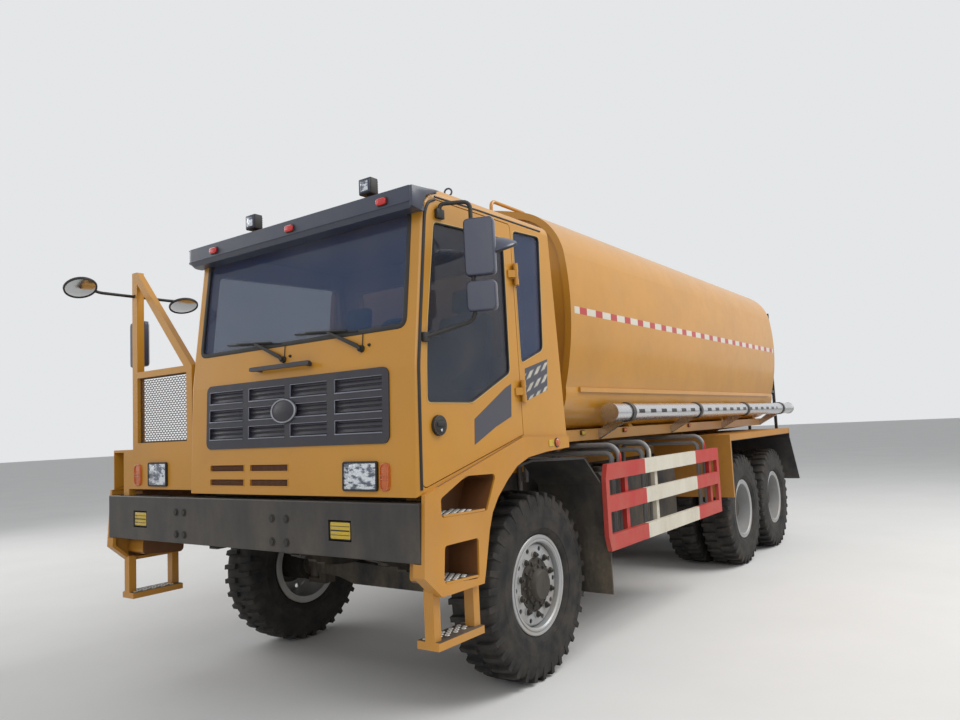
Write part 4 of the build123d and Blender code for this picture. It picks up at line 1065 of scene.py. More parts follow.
def leaning(foot: Pair, head: Pair) -> Matrix:
    """Return the matrix of a leaning face of the cab's front: across, up the face and out of it."""
    rise = Vector((0, head[0] - foot[0], head[1] - foot[1])).normalized()
    return columns((1, 0, 0), tuple(rise), (0, -rise.z, rise.y), spot(0, *foot))


FACE = leaning((0.009, 0.0), (0.035, 0.780))
SCREEN = leaning((0.060, 1.0), (0.155, 1.770))
UPRIGHT = columns((1, 0, 0), (0, 0, 1), (0, -1, 0))
LEFT_SIDE = columns((0, 1, 0), (0, 0, 1), (1, 0, 0))
FROM_ABOVE = Matrix.Translation((0, BUMPER_Y, BUMPER_TOP))


# Stage

@dataclass
class Stage:
    """Floor, soft light and the camera at the photograph's place."""

    place: Point = (4.41190, -7.53746, 1.86017)
    right: Point = (0.810328836, 0.584064952, -0.047279053)
    up: Point = (0.090969977, -0.045683539, 0.994805245)
    back: Point = (0.578871003, -0.810420352, -0.090151070)
    focal_mm: float = 28.003
    lamp_size: float = 9.0
    # Name, place and power of each soft lamp.
    lamps: tuple[tuple[str, Point, float], ...] = (
        ("key", (9.0, 3.0, 12.0), 1500.0), ("front", (6.0, -13.0, 8.0), 500.0),
        ("right", (-11.0, -4.0, 7.0), 380.0))

    def camera(self) -> None:
        """Add the camera."""
        data = bpy.data.cameras.new("camera")
        data.lens = self.focal_mm
        data.sensor_width = 36.0
        data.clip_end = 400.0
        camera = linked("camera", data)
        camera.matrix_world = columns(self.right, self.up, self.back, self.place)
        bpy.context.scene.camera = camera

    def lamp(self, name: str, place: Point, power: float) -> None:
        """Add a soft square lamp that faces the middle of the truck.

        Args:
            name: Its name.
            place: Where it stands.
            power: Its power in watts.
        """
        data = bpy.data.lights.new(name, "AREA")
        data.size = self.lamp_size
        data.energy = power
        lamp = linked(name, data)
        lamp.location = place
        lamp.rotation_euler = (Vector((0, 0, 1.5)) - Vector(place)).to_track_quat("-Z", "Y").to_euler()

    def world(self) -> None:
        """Light the scene evenly, with a pale background that glass and metal show too."""
        tree = Tree(bpy.data.worlds.new("studio"))
        bpy.context.scene.world = tree.owner
        rays = tree.nodes.new("ShaderNodeLightPath").outputs
        camera, through, glossy = (
            Sock(tree, rays[name]) for name in ("Is Camera Ray", "Is Transmission Ray", "Is Glossy Ray"))
        light = tree.node("ShaderNodeBackground", inputs={"Color": (0.93, 0.96, 1.0), "Strength": 0.50})
        back = tree.node("ShaderNodeBackground", inputs={"Color": srgb(228, 230, 232), "Strength": 1.0})
        seen = camera.most(through.most(glossy))
        shader = tree.node("ShaderNodeMixShader", inputs={0: seen, 1: light, 2: back})
        tree.end("ShaderNodeOutputWorld", shader)

    def build(self) -> None:
        """Build the stage."""
        self.camera()
        floor = coat(added(bpy.ops.mesh.primitive_plane_add, "floor", size=240), Paint.FLOOR)
        self.world()
        for lamp in self.lamps:
            self.lamp(*lamp)
        bpy.context.scene.view_settings.view_transform = "Standard"


# Wheels

@dataclass
class Tyre:
    """A lugged off-road tyre on a 25 inch rim."""

    radius: float = 0.685
    width: float = 0.375
    bead: float = 0.365
    lug_count: int = 34
    lug_height: float = 0.028
    # The wall: x, and how far over the bead.
    wall: tuple[Pair, ...] = (
        (0.143, -0.002), (0.152, 0.004), (0.172, 0.022), (0.179, 0.045), (0.183, 0.047), (0.1855, 0.075),
        (0.1862, 0.120), (0.1872, 0.125), (0.1872, 0.133), (0.1858, 0.138))
    # The shoulder: x, and how far under the foot of the lugs.
    shoulder: tuple[Pair, ...] = ((0.183, 0.090), (0.178, 0.050), (0.168, 0.018), (0.150, 0.002))

    def carcass(self) -> Obj:
        """Return the tyre's body with ribs on its walls.

        Returns:
            The body, about the X axis.
        """
        half = self.width / 2
        root = self.radius - self.lug_height
        section = [(x, self.bead + rise) for x, rise in self.wall]
        section += [(x, root - drop) for x, drop in self.shoulder]
        section += [(half * 0.45, root), (half * 0.1, root)]
        return turned("tyre_body", section + [(-x, radius) for x, radius in reversed(section)], 96, 40)

    def lug(self, side: int) -> Obj:
        """Return one lug that runs from near the middle over a shoulder.

        Args:
            side: 1 for the outer row and -1 for the inner one.

        Returns:
            The lug, at the top of the tyre.
        """
        low = self.radius - self.lug_height - 0.012
        middle = (low + self.radius) / 2
        half = self.width / 2
        lug = added(bpy.ops.mesh.primitive_cube_add, "lug", size=1, location=(side * half * 0.53, 0, middle),
                    scale=(half * 0.92, 0.052, self.radius - low))
        with editing(lug):
            bpy.ops.mesh.subdivide(number_cuts=2)
        for vertex in lug.data.vertices:
            reach = abs(vertex.co.x) / half
            top = vertex.co.z > middle
            sweep = side * 0.030 * (reach - 0.5) * (1 if reach > 0.6 else 0.3)
            vertex.co.y = vertex.co.y * (0.8 if top else 1.0) + sweep
            if reach > 0.8:
                vertex.co.z -= 0.012 if top else 0.075
                vertex.co.x = side * half * (0.93 if top else 0.985)
            elif reach > 0.55:
                vertex.co.z -= 0.003 if top else 0.02
        return finish_edges(lug, 0.0035, 1)

    def build(self) -> Obj:
        """Return a whole tyre, centred on the origin about the X axis.

        Returns:
            The tyre.
        """
        outer = ring_of(self.lug(1), self.lug_count)
        inner = ring_of(self.lug(-1), self.lug_count, 180 / self.lug_count)
        return joined([self.carcass(), outer, inner], "tyre")


@dataclass
class Rim:
    """A demountable steel rim with its wheel disc, a ring of round holes and the nuts."""

    seat: float = 0.320
    flange: float = 0.3625
    half: float = 0.145
    wall: float = 0.014
    hole_count: int = 10
    hole_radius: float = 0.019
    hole_ring: float = 0.248
    front_hole_ring: float = 0.262
    nut_count: int = 10
    nut_ring: float = 0.215

    def barrel(self) -> Obj:
        """Return the barrel with its rolled flanges and lock ring.

        Returns:
            The barrel, about the X axis.
        """
        lip, seat, flange, inner = self.half + 0.012, self.seat, self.flange, self.seat - self.wall
        half, under = self.half, flange - 0.002
        return turned("barrel", [
            (-lip, inner), (-lip, flange - 0.004), (-lip + 0.004, flange), (-half - 0.001, under),
            (-half, seat), (half, seat), (half + 0.001, under), (lip - 0.005, flange),
            (lip, flange - 0.006), (lip - 0.002, seat + 0.018), (lip - 0.007, seat + 0.016),
            (lip - 0.007, seat + 0.010), (lip, seat + 0.008), (lip, seat - 0.004), (lip - 0.010, inner),
            (-lip, inner)], 96, 30)

    def disc(self, offset: float) -> Obj:
        """Return the pierced disc of a rear wheel, at an offset from the rim's middle.

        Args:
            offset: Where its flat middle is along the axle.

        Returns:
            The disc.
        """
        outer = self.seat - self.wall + 0.001
        profile = [
            (0.0, 0.150), (0.0, 0.238), (0.012, 0.258), (0.028, 0.290), (0.028, outer), (0.044, outer),
            (0.044, 0.288), (0.030, 0.250), (0.016, 0.234), (0.016, 0.150), (0.0, 0.150)]
        return self.pierced([(offset + x, radius) for x, radius in profile], offset + 0.02, self.hole_ring)

    def crowned_disc(self) -> Obj:
        """Return the front wheels' disc, crowned outwards almost to the flange.

        Returns:
            The disc.
        """
        outer = self.seat - self.wall + 0.001
        profile = [
            (0.108, 0.150), (0.108, 0.282), (0.098, 0.292), (0.062, 0.301), (0.052, outer), (0.066, outer),
            (0.104, 0.300), (0.116, 0.290), (0.120, 0.282), (0.120, 0.150), (0.108, 0.150)]
        return self.pierced(profile, 0.11, self.front_hole_ring)

    def pierced(self, profile: Sequence[Pair], x: float, ring: float) -> Obj:
        """Drill a turned disc.

        Args:
            profile: The disc's points (x, radius).
            x: Where the drills' middles are along the axle.
            ring: The radius of the ring of holes.

        Returns:
            The disc.
        """
        disc = turned("disc", profile, 120, 30)
        drill = added(bpy.ops.mesh.primitive_cylinder_add, "drill", vertices=20, radius=self.hole_radius,
                      depth=0.12, location=(x, 0, ring), rotation=ALONG_X)
        drill = ring_of(drill, self.hole_count, 180 / self.hole_count)
        apply(disc, "BOOLEAN", operation="DIFFERENCE", object=drill, solver="EXACT")
        bpy.data.objects.remove(drill)
        smooth(disc, 30)
        return disc

    def nuts(self, offset: float) -> Obj:
        """Return the ring of wheel nuts on their studs.

        Args:
            offset: Where their feet are along the axle.

        Returns:
            The nuts.
        """
        nut = hexagon_bolt("nut", (offset, 0, self.nut_ring), (1, 0, 0), 0.036, 0.024)
        stud = added(bpy.ops.mesh.primitive_cylinder_add, "stud", vertices=12, radius=0.010, depth=0.036,
                     location=(offset + 0.016, 0, self.nut_ring), rotation=ALONG_X)
        return ring_of(joined([nut, finish_edges(stud, 0.002, 1)], "nut"), self.nut_count)

    def clamps(self, face: float) -> Obj:
        """Return the ring of clamps under the front wheels' nuts.

        Args:
            face: Where the disc's face is along the axle.

        Returns:
            The clamps.
        """
        outline = [(-0.024, 0.196), (0.024, 0.196), (0.030, 0.222), (0.022, 0.240), (-0.022, 0.240),
                   (-0.030, 0.222)]
        clamp = panel("clamp", outline, (0.0, 0.010), 0.008, 0.002)
        return ring_of(placed(clamp, columns((0, 1, 0), (0, 0, 1), (1, 0, 0), (face, 0, 0))), self.nut_count)

    def hub(self, inner: float, outer: float, disc: float) -> Obj:
        """Return the dark hub with its ribbed cap.

        Args:
            inner: Where it starts along the axle.
            outer: Where its cap ends.
            disc: Where it meets the disc.

        Returns:
            The hub.
        """
        body = turned("hub", [
            (inner, 0.061), (inner, 0.148), (disc - 0.002, 0.150), (disc - 0.002, 0.196),
            (disc + 0.030, 0.196), (disc + 0.036, 0.190), (disc + 0.038, 0.165), (outer - 0.060, 0.150),
            (outer - 0.040, 0.146), (outer - 0.038, 0.120), (outer - 0.008, 0.108), (outer, 0.098),
            (outer, 0.004)], 64, 30)
        bolt = hexagon_bolt("hub_bolt", (outer - 0.039, 0, 0.133), (1, 0, 0), 0.018, 0.012)
        rib = box("rib", ((disc + 0.030, outer - 0.050), (-0.007, 0.007), (0.140, 0.180)), 0.003)
        return joined([body, ring_of(bolt, 12), ring_of(rib, 10, 18)], "hub")


@dataclass
class Wheels:
    """The ten tyres and their rims, in the places of their nodes."""

    front_x: float = 1.2625
    outer_x: float = 1.3125
    inner_x: float = 0.8575

    def fitted(self, name: str, parts: Sequence[tuple[Obj, float]], side: int, y: float) -> Obj:
        """Put copies of parts on one side of an axle.

        Args:
            name: The joined piece's name.
            parts: Each part with its distance from the truck's middle.
            side: 1 for the left and -1 for the right.
            y: The axle's place.

        Returns:
            The joined piece.
        """
        turn = Matrix.Rotation(0.0 if side > 0 else pi, 4, "Z")
        return joined([copied(part, name, Matrix.Translation((side * x, y, AXLE_Z)) @ turn)
                       for part, x in parts], name)

    def build(self) -> None:
        """Build every wheel from one tyre and three kinds of rim."""
        tyre = Tyre().build()
        rim = Rim()
        barrel = rim.barrel()
        front = assembled([
            (copied(barrel, "barrel"), Paint.RIM), (rim.crowned_disc(), Paint.RIM),
            (rim.clamps(0.120), Paint.RIM), (rim.nuts(0.130), Paint.HUB),
            (rim.hub(-0.205, 0.192, 0.090), Paint.HUB)], "front_rim")
        outer = assembled([
            (copied(barrel, "barrel"), Paint.RIM), (rim.disc(-0.12), Paint.RIM),
            (rim.nuts(-0.104), Paint.BOLT), (rim.hub(-0.30, 0.070, -0.110), Paint.HUB)], "outer_rim")
        sleeve = turned("sleeve", [(-0.10, 0.061), (-0.10, 0.148), (0.17, 0.148), (0.17, 0.061)], 48)
        inner = assembled([
            (copied(barrel, "barrel"), Paint.RIM), (rim.disc(0.06), Paint.RIM),
            (sleeve, Paint.HUB)], "inner_rim")
        for side, word in ((1, "left"), (-1, "right")):
            tyres = self.fitted(f"front_tyre_{word}", [(tyre, self.front_x)], side, FRONT_AXLE_Y)
            rims = self.fitted(f"front_rim_{word}", [(front, self.front_x)], side, FRONT_AXLE_Y)
            body = f"wheel_front_{word}"
            dressed(coat(tyres, Paint.TYRE), body, "tyre", f"tyre_front_{word}")
            dressed(rims, body, "rim_paint", f"rim_front_{word}")
            for axle, y in (("mid", MID_AXLE_Y), ("rear", REAR_AXLE_Y)):
                pair = [(tyre, self.outer_x), (tyre, self.inner_x)]
                tyres = self.fitted(f"{axle}_twin_tyres_{word}", pair, side, y)
                pair = [(outer, self.outer_x), (inner, self.inner_x)]
                rims = self.fitted(f"{axle}_twin_rims_{word}", pair, side, y)
                body = f"wheels_{axle}_{word}"
                dressed(coat(tyres, Paint.TYRE), body, "tyre", f"tyres_{axle}_{word}")
                dressed(rims, body, "rim_paint", f"rims_{axle}_{word}")
        for obj in (tyre, barrel, front, outer, inner):
            bpy.data.objects.remove(obj)


# Cab

@dataclass
class Windscreen:
    """The windscreen's rubber surround and the wipers' blades and arms."""

    spread: Spread = ((-0.455, 1.560), (0.010, 0.745))
    corner: float = 0.07
    pivots: tuple[Pair, ...] = ((0.489, -0.085), (1.208, -0.085))
    # The flat parts of a wiper: name, corners from its pivot, heights over the glass, edge radius.
    flats: tuple[tuple[str, tuple[Pair, ...], Pair, float], ...] = (
        ("arm", ((-0.016, 0.030), (0.018, -0.016), (-0.288, 0.122), (-0.304, 0.146)), (0.018, 0.030), 0.003),
        ("carrier", ((-0.50, 0.160), (-0.50, 0.150), (-0.12, 0.121), (-0.12, 0.131)), (0.012, 0.024), 0.002),
        ("blade", ((-0.62, 0.163), (-0.62, 0.154), (-0.04, 0.109), (-0.04, 0.118)), (-0.010, 0.012), 0.002))

    def wiper(self, pivot: Pair) -> Obj:
        """Return one wiper: its nut, boss, washer hose and jet, tapered arm, bracket and blade.

        Args:
            pivot: Where it turns, on the glass.

        Returns:
            The wiper.
        """
        x, v = pivot
        parts = [hexagon_bolt("wiper", (x, v, 0.016), (0, 0, 1), 0.030, 0.018),
                 tapered("boss", (x, v), (0.024, 0.018), (-0.0005, 0.018)),
                 tube("hose", [(x + 0.006, v + 0.016, 0.004), (x + 0.004, v + 0.092, 0.004)], 0.003),
                 tapered("jet", (x + 0.062, v + 0.018), (0.011, 0.006), (-0.0005, 0.014), 16)]
        for name, corners, heights, bevel in self.flats:
            parts.append(panel(name, [(x + along, v + up) for along, up in corners], heights, 0.0, bevel))
        return joined(parts, "wiper")

    def build(self) -> None:
        """Build the surround and both wipers."""
        seal = slab("windscreen_seal", self.spread, (-0.012, 0.005), self.corner, 0.004, 0.030, 0.004)
        dressed(coat(placed(seal, SCREEN), Paint.GASKET), "root", "black_rubber")
        pair = placed(joined([self.wiper(pivot) for pivot in self.pivots], "wiper_pair"), SCREEN)
        dressed(coat(pair, Paint.GASKET), "root", "black_paint", "wipers")


@dataclass
class Grille:
    """The grille's openings with their slats and their lips in pale grey, a painted highlight, the blank
    badge and the vents below.
    """

    bays: tuple[Pair, ...] = ((-0.293, 0.085), (0.147, 0.519), (0.575, 0.919), (0.989, 1.388))
    rows: tuple[Pair, ...] = ((0.405, 0.488), (0.530, 0.615), (0.657, 0.742))
    badge: Pair = (0.516, 0.574)
    badge_half: Pair = (0.126, 0.081)
    vent_bays: tuple[Pair, ...] = ((-0.287, 0.089), (0.157, 0.542))
    vent_rows: tuple[Pair, ...] = ((0.186, 0.227), (0.088, 0.130))
    vent_pitch: float = 0.012
    slat_lean: float = -24.0

    def slats(self, spread: Spread) -> list[Obj]:
        """Return one opening's two slats, which hide its slots.

        Args:
            spread: From and to across its face and up it.

        Returns:
            The slats.
        """
        (left, right), (low, _) = spread
        shape = ((left + 0.004, right - 0.004), (-0.016, 0.016))
        tilt = Matrix.Rotation(radians(self.slat_lean), 4, "X")
        return [placed(slab("slat", shape, (-0.002, 0.002), bevel=0.001),
                       Matrix.Translation((0, low + rise, -0.008)) @ tilt) for rise in (0.024, 0.058)]

    def lips(self, spread: Spread) -> list[Obj]:
        """Return the rounded lips round an opening, the lower one the widest; their pale grey is a painted
        highlight of the edges.
        """
        x_range, (low, high) = spread
        return [slab("lip", (x_range, around(low, 0.004)), (0.006, 0.014), bevel=0.002),
                slab("lip", (x_range, around(high, 0.002)), (0.006, 0.012), bevel=0.001),
                slab("lip", (around(x_range[0], 0.002), (low, high)), (0.006, 0.012), bevel=0.001)]

    def emblem(self) -> Parts:
        """Return the blank badge: a crowned oval in a bright rim.

        Returns:
            The badge's parts.
        """
        disc = tapered("badge_disc", (0, 0), (1.0, 0.86), (0.012, 0.022), 64)
        ring = added(bpy.ops.mesh.primitive_torus_add, "badge_ring", major_segments=64, minor_segments=10,
                     major_radius=0.92, minor_radius=0.065)
        placed(ring, Matrix.Translation((0, 0, 0.020)) @ Matrix.Diagonal((1, 1, 0.09, 1)))
        grow = Matrix.Translation((*self.badge, 0)) @ Matrix.Diagonal((*self.badge_half, 1, 1))
        return [(placed(disc, grow), Paint.GRILLE), (placed(ring, grow), Paint.BADGE)]

    def vent(self, spread: Spread) -> list[Obj]:
        """Return one vent's mesh of upright and level bars.

        Args:
            spread: From and to across its face and up it.

        Returns:
            The bars.
        """
        x_range, v_range = spread
        count = int((x_range[1] - x_range[0]) / self.vent_pitch)
        uprights = [around(between(x_range, number / count), 0.002) for number in range(1, count)]
        bars = [slab("vent_bar", (upright, v_range), (-0.010, -0.006)) for upright in uprights]
        return bars + [slab("vent_bar", (x_range, around(between(v_range, share), 0.0015)), (-0.011, -0.007))
                       for share in (0.33, 0.67)]

    def build(self) -> None:
        """Build every opening, the badge and the vents."""
        openings = [(bay, row) for bay in self.bays for row in self.rows]
        slats = [slat for spread in openings for slat in self.slats(spread)]
        lips = [lip for spread in openings for lip in self.lips(spread)]
        parts = [(joined(slats, "slats"), Paint.GRILLE), (joined(lips, "lips"), Paint.LIP)]
        dressed(placed(assembled(parts, "grille_openings"), FACE), "root", "black_paint")
        dressed(placed(assembled(self.emblem(), "blank_badge"), FACE), "root", "black_paint")
        vents = [(bay, row) for bay in self.vent_bays for row in self.vent_rows]
        mesh = joined([bar for spread in vents for bar in self.vent(spread)], "vent_mesh")
        dressed(coat(placed(mesh, FACE), Paint.RUST), "root", "body_paint")
        rims = [slab("vent_rim", spread, (-0.004, 0.003), 0.006, 0.002, 0.006, 0.006) for spread in vents]
        dressed(coat(placed(joined(rims, "vent_rims"), FACE), Paint.BODY), "root", "body_paint")


@dataclass
class FrontLamps:
    """Headlamps, indicators, fog lamps, work lamps, markers and the lamps of the rear bar."""

    left_head: Spread = ((1.065, 1.337), (0.070, 0.232))
    right_head: Spread = ((-1.115, -0.880), (0.080, 0.250))
    left_turn: Spread = ((1.359, 1.438), (0.064, 0.228))
    right_turn: Spread = ((-1.330, -1.230), (0.075, 0.245))
    fogs: tuple[Spread, ...] = (((-1.270, -1.100), (-0.230, -0.120)), ((0.930, 1.110), (-0.230, -0.120)))
    side_marker: Pair = (1.530, 0.272)
    roof_x: tuple[float, ...] = (-0.220, 0.610, 1.440)
    work_x: tuple[float, ...] = (0.020, 1.170)
    rear_x: tuple[float, ...] = (-1.05, 1.05)
    rear_y: float = 8.90

    def headlamp(self, spread: Spread, out: float, matrix: Matrix) -> Obj:
        """Return a headlamp: its thin black frame and its crowned, cut glass.

        Args:
            spread: Its width and height on its face.
            out: How far the face of its housing stands out.
            matrix: The face that it is set in.

        Returns:
            The lamp.
        """
        (left, right), v_range = spread
        ends = (left + 0.01, right - 0.01)
        rim = slab("lamp_rim", spread, (out - 0.014, out + 0.007), 0.018, 0.003, 0.012, 0.007)
        glass = slab("lamp_glass", spread, (out - 0.012, out + 0.003), 0.014, 0.003, grow=-0.003)
        cuts = [tube("cut", [(x, between(v_range, row / 6), out + 0.003) for x in ends], 0.0016)
                for row in range(1, 6)]
        parts = [(rim, Paint.GASKET), (joined([glass, *cuts], "lamp_glass"), Paint.FACETS)]
        return placed(assembled(parts, "headlamp"), matrix)

    def indicator(self, spread: Spread, out: float, matrix: Matrix) -> Obj:
        """Return an indicator with rounded ends, a raised border and two ribs.

        Args:
            spread: Its width and height on its face.
            out: How far the face behind it stands out.
            matrix: The face that it is set on.

        Returns:
            The lamp.
        """
        (left, right), v_range = spread
        half = (right - left) / 2
        raised = (out + 0.006, out + 0.013)
        parts = [slab("indicator", spread, (out - 0.010, out + 0.008), half * 0.9, 0.004),
                 slab("border", spread, raised, half * 0.85, 0.002, 0.007, -0.004)]
        for share in (0.42, 0.55):
            row = around(between(v_range, share), 0.003)
            parts.append(slab("rib", ((left + 0.008, right - 0.008), row), raised, bevel=0.001))
        return placed(coat(joined(parts, "indicator"), Paint.AMBER), matrix)

    def fog(self, spread: Spread) -> Obj:
        """Return one fog lamp: its thin rim and a yellow lens crossed by dark bars.

        Args:
            spread: From and to across its face and up it.

        Returns:
            The lamp.
        """
        (left, right), v_range = spread
        frame_parts = [slab("fog_rim", spread, (-0.030, -0.002), 0.010, 0.001, 0.003)]
        lens = slab("fog_lens", spread, (-0.020, -0.003), 0.010, 0.003, grow=-0.005)
        for share, half in ((0.26, 0.0016), (0.50, 0.004), (0.74, 0.0016)):
            row = around(between(v_range, share), half)
            bar = slab("bar", ((left + 0.010, right - 0.010), row), (-0.005, -0.0015), bevel=0.0005)
            frame_parts.append(bar)
        parts = [(joined(frame_parts, "fog_rim"), Paint.GASKET), (lens, Paint.YELLOW)]
        return placed(assembled(parts, "fog"), UPRIGHT)

    def work_lamp(self, x: float) -> Obj:
        """Return a work lamp on the visor: finned housing, lens, bracket and lead.

        Args:
            x: Where it stands across the truck.

        Returns:
            The lamp.
        """
        foot = spot(x, 0.195, 1.915)
        # Blocks: name, half width, from and to behind its middle and over its foot, edge radius.
        rows = [("work_lamp", 0.054, (-0.036, 0.034), (0.0, 0.105), 0.008)]
        rows += [("fin", 0.048, (0.030, 0.039), (0.010 + rise, 0.016 + rise), 0.001)
                 for rise in (0.014 * number for number in range(6))]
        rows += [("foot", 0.016, (-0.001, 0.031), (-0.082, 0.004), 0.002),
                 ("rim", 0.047, (-0.040, -0.030), (0.008, 0.097), 0.004),
                 ("lens", 0.032, (-0.0415, -0.036), (0.020, 0.085), 0.002)]
        *housing, rim, lens = (box(name, ((-half, half), y_range, z_range), bevel, foot)
                               for name, half, y_range, z_range, bevel in rows)
        bends = ((0.030, 0.01, 0.01), (0.044, 0.015, -0.02), (0.050, 0.06, -0.04))
        lead = tube("lead", [tuple(a + b for a, b in zip(foot, bend)) for bend in bends], 0.004)
        case = joined([*housing, lead], "work_lamp")
        return assembled([(case, Paint.GASKET), (rim, Paint.SHELL), (lens, Paint.FACETS)], "work_lamp")

    def marker(self) -> Obj:
        """Return the left side's round marker and reflector at the step panel's rear corner.

        Returns:
            The lamp.
        """
        base = tapered("marker_base", self.side_marker, (0.036, 0.034), (1.676, 1.684))
        lens = tapered("marker_lens", self.side_marker, (0.032, 0.020), (1.684, 1.696), bevel=0.004)
        reflector = slab("reflector", ((1.415, 1.480), (0.248, 0.296)), (1.676, 1.682), 0.006, 0.002)
        parts = [(base, Paint.GASKET), (lens, Paint.AMBER), (reflector, Paint.YELLOW)]
        return placed(assembled(parts, "side_marker"), LEFT_SIDE)

    def red_lamps(self) -> Obj:
        """Return the red markers on the visor and the lamps on the rear bar.

        Returns:
            The joined lamps.
        """
        lamps = []
        for x in self.roof_x:
            base = slab("base", (around(x, 0.047), (1.748, 1.802)), (-0.027, -0.022), 0.026, 0.002)
            lens = slab("lens", (around(x, 0.041), (1.753, 1.797)), (-0.022, -0.007), 0.021, 0.006)
            marker = assembled([(base, Paint.GASKET), (lens, Paint.RED_LENS)], "marker")
            lamps.append(placed(marker, UPRIGHT))
        # Blocks: across, behind the bar and from the ground, with edge radius and finish.
        rows = ((((-0.110, 0.110), (0.0, 0.022), (0.715, 0.805)), 0.004, Paint.GASKET),
                (((-0.104, 0.030), (0.016, 0.040), (0.721, 0.799)), 0.006, Paint.RED_LENS),
                (((0.034, 0.104), (0.016, 0.038), (0.721, 0.799)), 0.006, Paint.AMBER))
        for x in self.rear_x:
            origin = (x, BUMPER_Y + self.rear_y, 0)
            lamps.append(assembled([(box("block", spans, bevel, origin), paint)
                                    for spans, bevel, paint in rows], "rear_lamp"))
        return joined(lamps, "red_lamp_set")

    def build(self) -> None:
        """Build every lamp of the cab's front, and the red lamps."""
        left = self.headlamp(self.left_head, 0.012, FACE)
        right = self.headlamp(self.right_head, -0.033, UPRIGHT)
        spans = ((-1.113, -0.882), (0.034, 0.084), (0.082, 0.248))
        housing = box("right_housing", spans, 0.004, spot(0, 0, 0))
        lamps = [left, right, coat(housing, Paint.GASKET), *(self.work_lamp(x) for x in self.work_x)]
        dressed(joined(lamps, "white_lamps"), "root", "lamp_glass", "headlamps")
        marker = self.marker()
        lamps = [marker, mirrored(marker, "side_marker"), self.indicator(self.left_turn, 0.002, FACE),
                 self.indicator(self.right_turn, -0.043, UPRIGHT),
                 *(self.fog(spread) for spread in self.fogs)]
        dressed(joined(lamps, "amber_lamp_set"), "root", "amber_lens", "amber_lamps")
        dressed(self.red_lamps(), "root", "red_lens", "red_lamps")


@dataclass
class DoorTrim:
    """What is on the door and beside it: seal, gutter, window channels, handle, eye and stickers."""

    side_x: float = 1.650
    seal: tuple[Pair, ...] = (
        (0.036, 0.070), (0.053, 0.780), (0.079, 1.000), (0.150, 1.590), (0.163, 1.700), (0.196, 1.768),
        (0.262, 1.797))
    gutter: tuple[Pair, ...] = ((0.262, 1.815), (0.700, 1.826), (1.500, 1.832))
    window: tuple[Pair, ...] = (
        (0.238, 1.660), (0.998, 1.695), (1.002, 0.760), (0.555, 0.558), (0.112, 0.560), (0.122, 0.780),
        (0.138, 1.000))
    quarter: tuple[Pair, ...] = ((1.115, 1.770), (1.480, 1.790), (1.450, 0.940), (1.142, 0.830))
    band: tuple[Pair, ...] = (
        (0.560, 0.300), (0.800, 0.405), (0.990, 0.470), (1.005, 0.690), (0.930, 0.660), (0.570, 0.460))
    blocks: tuple[Pair, ...] = ((1.190, 0.575), (1.480, 0.655), (1.500, 0.880), (1.190, 0.800))
    lock: Pair = (0.205, 0.430)

    def heights(self, low: float, high: float) -> Pair:
        """Return the bounds of a piece that stands out from the door's skin."""
        return self.side_x + low, self.side_x + high

    def channel(self, name: str, outline: Sequence[Pair], corner: float) -> Obj:
        """Return a window's dark channel with a narrow lip round its outside, painted pale as a painted
        highlight of the flange.

        Args:
            name: The piece's name.
            outline: The window's corners.
            corner: Their radius.

        Returns:
            The channel.
        """
        channel = panel(name, outline, self.heights(-0.014, 0.001), corner, 0.003, 0.012)
        lip = panel("lip", outline, self.heights(-0.006, 0.003), corner, 0.001, 0.004)
        # The lip's pale colour is a painted highlight.
        return placed(assembled([(channel, Paint.GASKET), (lip, Paint.TRIM)], name), LEFT_SIDE)

    def sticker(self, name: str, outline: Sequence[Pair], paint: Paint) -> Obj:
        """Return a sticker on the cab's side."""
        return placed(coat(panel(name, outline, self.heights(0.0002, 0.0012)), paint), LEFT_SIDE)

    def eye(self) -> Obj:
        """Return the lifting eye on the roof's edge.

        Returns:
            The eye.
        """
        foot = spot(1.545, 0.540, 1.905)
        ring = added(bpy.ops.mesh.primitive_torus_add, "eye", major_segments=28, minor_segments=10,
                     major_radius=0.024, minor_radius=0.006, location=(foot[0], foot[1], foot[2] + 0.026),
                     rotation=(pi / 2, 0, radians(20)))
        block = box("foot", ((-0.012, 0.012), (-0.012, 0.012), (-0.045, 0.004)), 0.004, foot)
        return coat(joined([ring, block], "lifting_eye"), Paint.SHELL)

    def handle(self) -> Obj:
        """Return the round recessed handle with its pull and lock.

        Returns:
            The handle.
        """
        x, z = self.lock
        parts = [tapered("cup", self.lock, (0.062, 0.059), self.heights(0.0, 0.023), 48, 0.004),
                 tapered("ring", self.lock, (0.046, 0.040), self.heights(0.020, 0.025), 40, 0.001),
                 slab("pull", ((0.168, 0.242), (0.424, 0.452)), self.heights(0.020, 0.032), 0.010, 0.003)]
        lock = tapered("lock", (x, z - 0.028), (0.009, 0.008), self.heights(0.022, 0.030), 20, 0.001)
        parts = [(joined(parts, "door_handle"), Paint.GASKET), (lock, Paint.CHROME)]
        return placed(assembled(parts, "door_handle"), LEFT_SIDE)

    def build(self) -> None:
        """Build the door's trim, and the seal, gutter and stickers on the cab beside it."""
        x = self.side_x
        seal = tube("door_seal", [spot(x + 0.0005, *place) for place in self.seal], 0.010, 0.05)
        gutter = tube("roof_gutter", [spot(x - 0.002, *place) for place in self.gutter], 0.007)
        dressed(coat(joined([seal, gutter], "door_seal"), Paint.GASKET), "root", "black_rubber")
        dressed(self.channel("window_channel", self.window, 0.04), "door_left", "black_rubber")
        dressed(self.channel("quarter_channel", self.quarter, 0.045), "root", "black_rubber")
        dressed(self.handle(), "door_left", "black_paint")
        dressed(self.eye(), "root", "black_paint")
        dressed(self.sticker("door_band", self.band, Paint.STICKER), "door_left", "body_paint")
        dressed(self.sticker("side_blocks", self.blocks, Paint.BLOCKS), "root", "body_paint")


